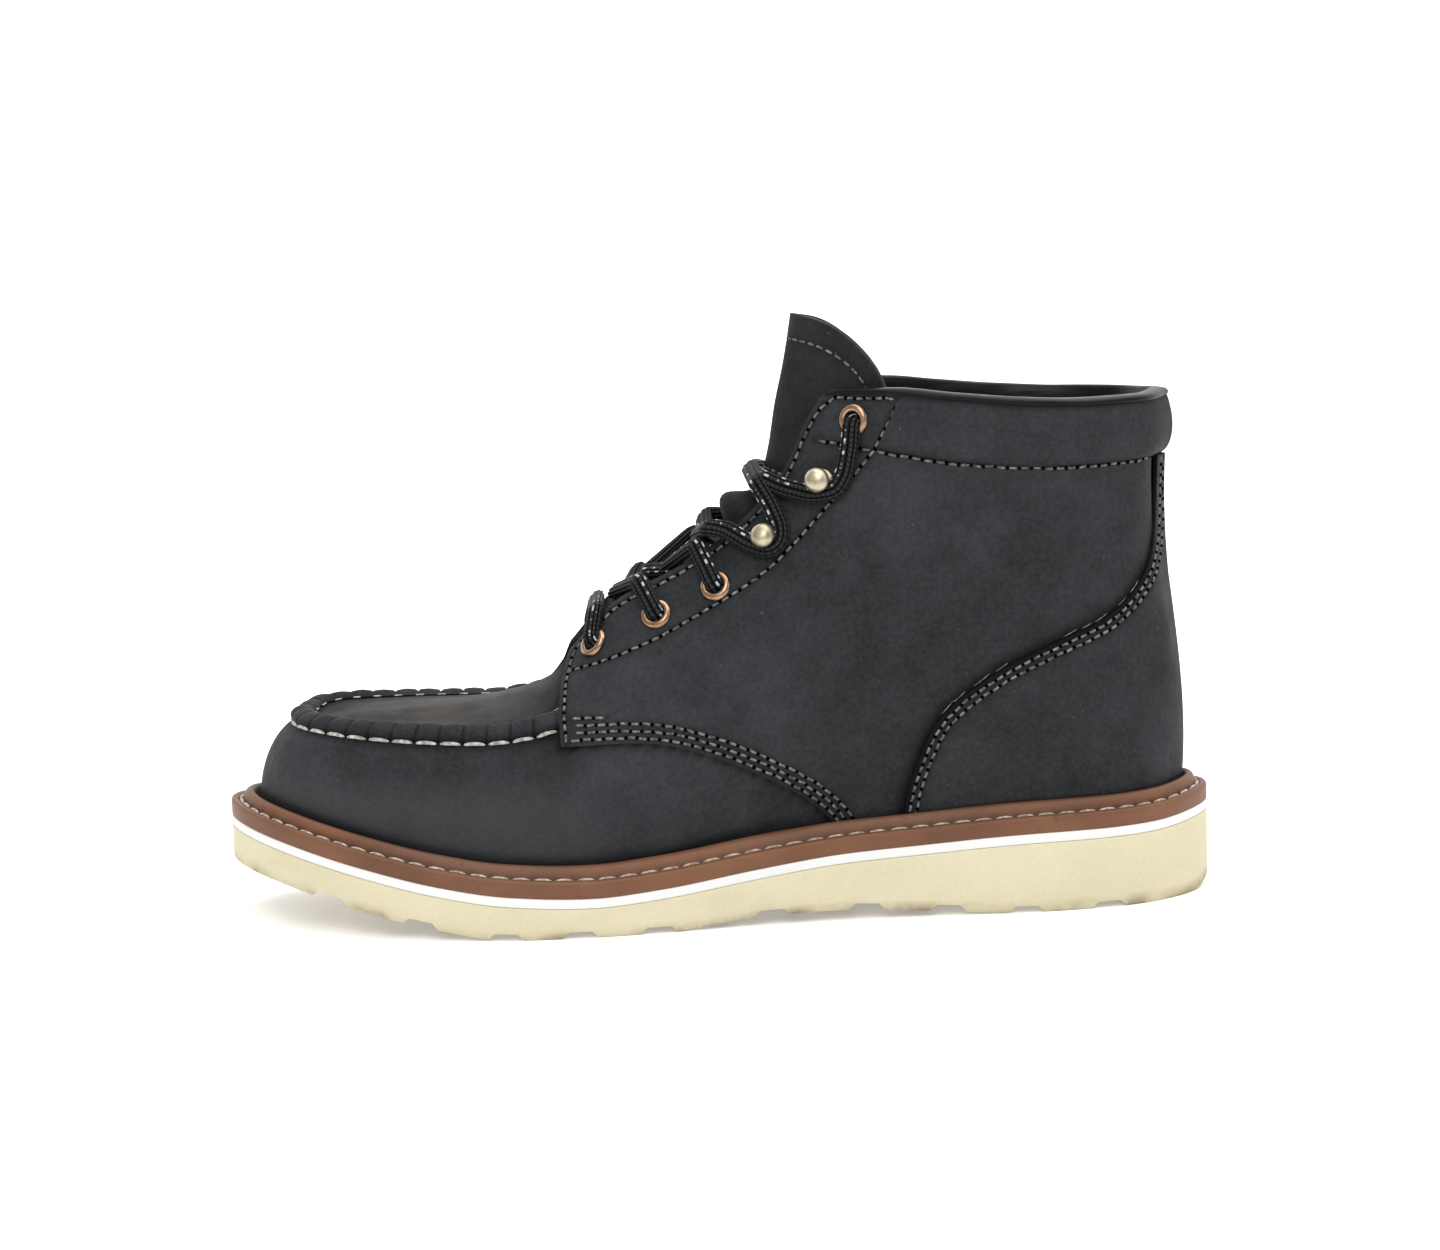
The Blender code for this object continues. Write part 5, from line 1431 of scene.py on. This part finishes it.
def over_edge(side, x, z, lift):
    """Point and normal of a lace as it passes over the throat edge beside a fitting."""
    places = side * np.linspace(THROAT_END, COLLAR_CORNER, 400)
    rim = skin(places, 2.0)
    i = int(np.argmin(np.hypot(rim[:, 0] - x, rim[:, 2] - z)))
    normal = skin_normal(places[i:i + 1], 2.0)[0]
    way = unit(OVER_TONGUE + normal)
    return rim[i] + QUARTER_TOP * normal + lift * way, way


def under_edge(side, x, z):
    """Point and normal of a lace as it comes out from behind the throat edge."""
    point, _ = over_edge(side, x, z, 0.0)
    return point - UNDER_EDGE * OVER_TONGUE - np.array([0.0, side * BEHIND_EDGE, 0.0]), OVER_TONGUE


def into_eyelet(side, number):
    """Points and normals of a lace as it goes down through an eyelet."""
    x, z, _ = EYELETS[number]
    return on_panel(side, [(x + dx, z + dz, lift) for dx, dz, lift in EYELET_DIVE])


def over_tongue(share, lift):
    """Point and normal of a lace as it crosses the middle of the tongue."""
    return tongue_point(np.array([share]), np.zeros(1))[0] + lift * OVER_TONGUE, OVER_TONGUE


def lace_route(side, lift):
    """Points and normals of one half of the lace, from the bar to a top eyelet."""
    here = over_edge(side, *LACE_TURNS[0])
    route = [(here[0] * (1, 0, 1) + (0, middle(here[0][0]), 0), OVER_TONGUE), here]
    for number, (share, height) in enumerate(LACE_CROSSINGS):
        (x, z, _), ahead = LACE_TURNS[number:number + 2]
        route += into_eyelet(side, number)
        route.append(under_edge(side, x + LACE_EMERGES * (ahead[0] - x), z + LACE_EMERGES * (ahead[1] - z)))
        route += [over_tongue(share, height + lift), over_edge(-side, *ahead)]
        side = -side
    route += on_panel(side, STUD_LOOP)
    start, end = over_edge(side, *HIGH_TURNS[0]), over_edge(-side, *HIGH_TURNS[1])
    route += [start, (0.5 * (start[0] + end[0]) + lift * OVER_TONGUE, OVER_TONGUE), end]
    return route + on_panel(-side, TOP_LOOP) + into_eyelet(-side, 3)


def softened(values, reach):
    """Values along a path, averaged over a few neighbours; the ends stay."""
    half = int(3 * reach)
    weights = np.exp(-0.5 * (np.arange(-half, half + 1) / reach) ** 2)
    full = np.vstack([2 * values[0] - values[half:0:-1], values, 2 * values[-1] - values[-2:-half - 2:-1]])
    return np.column_stack([np.convolve(column, weights / weights.sum(), "valid") for column in full.T])


def cord(name, route):
    """Oval braided cord along a route of points and normals, and its length."""
    points, normals = (np.array(column) for column in zip(*route))
    run = run_along(points)
    dense = np.arange(0, run[-1], LACE_STEP)
    points, normals = (softened(read_along(run, values, dense), LACE_SOFT / LACE_STEP)
                       for values in (points, normals))
    ahead = unit(np.gradient(points, axis=0))
    beside_it = unit(np.cross(ahead, normals))
    top = np.cross(beside_it, ahead)

    def place(u, v):
        i = np.round(u * (len(dense) - 1)).astype(int)
        turn = 2 * math.pi * v
        rib = RIB_FLOOR + RIB_RISE * np.abs(np.cos(LACE_RIBS * turn))
        wide, thick = (np.sign(share) * np.abs(share) ** LACE_SQUARE
                       for share in (np.cos(turn), np.sin(turn)))
        return (points[i] + (0.5 * LACE_WIDE * rib * wide)[:, None] * beside_it[i]
                + (0.5 * LACE_THICK * rib * thick)[:, None] * top[i])
    made = grid_piece(name, len(dense) - 1, 12 * LACE_RIBS, place)
    weld(made, distance=0.004)
    close_ends(made)
    smooth(made, 60)
    return made, run[-1]


halves = [cord(f"lace_half_{label}", lace_route(side, lift))
          for (side, label), lift in zip(SIDES, (0.0, LACE_OVERLAP))]
lace_length = 0.5 * sum(length for _, length in halves)
laces = joined("laces_laced", *(piece for piece, _ in halves))
braid = Finish("black_braid", "UV", Roughness=0.5, Specular_IOR_Level=0.035)
along, lobe = braid.where.part("X") * lace_length, braid.where.part("Y") * (2 * LACE_RIBS)
strand = (lobe + 0.5).folded()
weave = (along * (1 / BRAID_ROW) + strand * STRAND_LEAN).folded()
tracer = 0.0
for tracer_rib, shift in TRACERS:
    offset = lobe - tracer_rib
    band = 1 - offset.math("ABSOLUTE", offset).step(0.14, 0.26)
    beat = along * (1 / FLECK_ROW) + shift
    tracer = tracer + band * (1 - beat.math("FRACT", beat).step(0.38, 0.44))
tracer = tracer * (along * 0.17).noise(1.0, 2).step(0.47, 0.53)
# The crests of the ribs and strands carry a painted highlight over the black of the cord.
rib_highlight = strand.step(0.06, 0.34) * (0.35 + weave.step(0.05, 0.45) * 0.65)
braid.set(Base_Color=(tracer * 0.85).tint(rib_highlight.tint(BRAID_DARK, BRAID_HIGHLIGHT), TRACER_WHITE),
          Normal=weave.bump(0.2, 0.6))
braid.coat(laces)
hold(laces, "lace_cord", "laces")
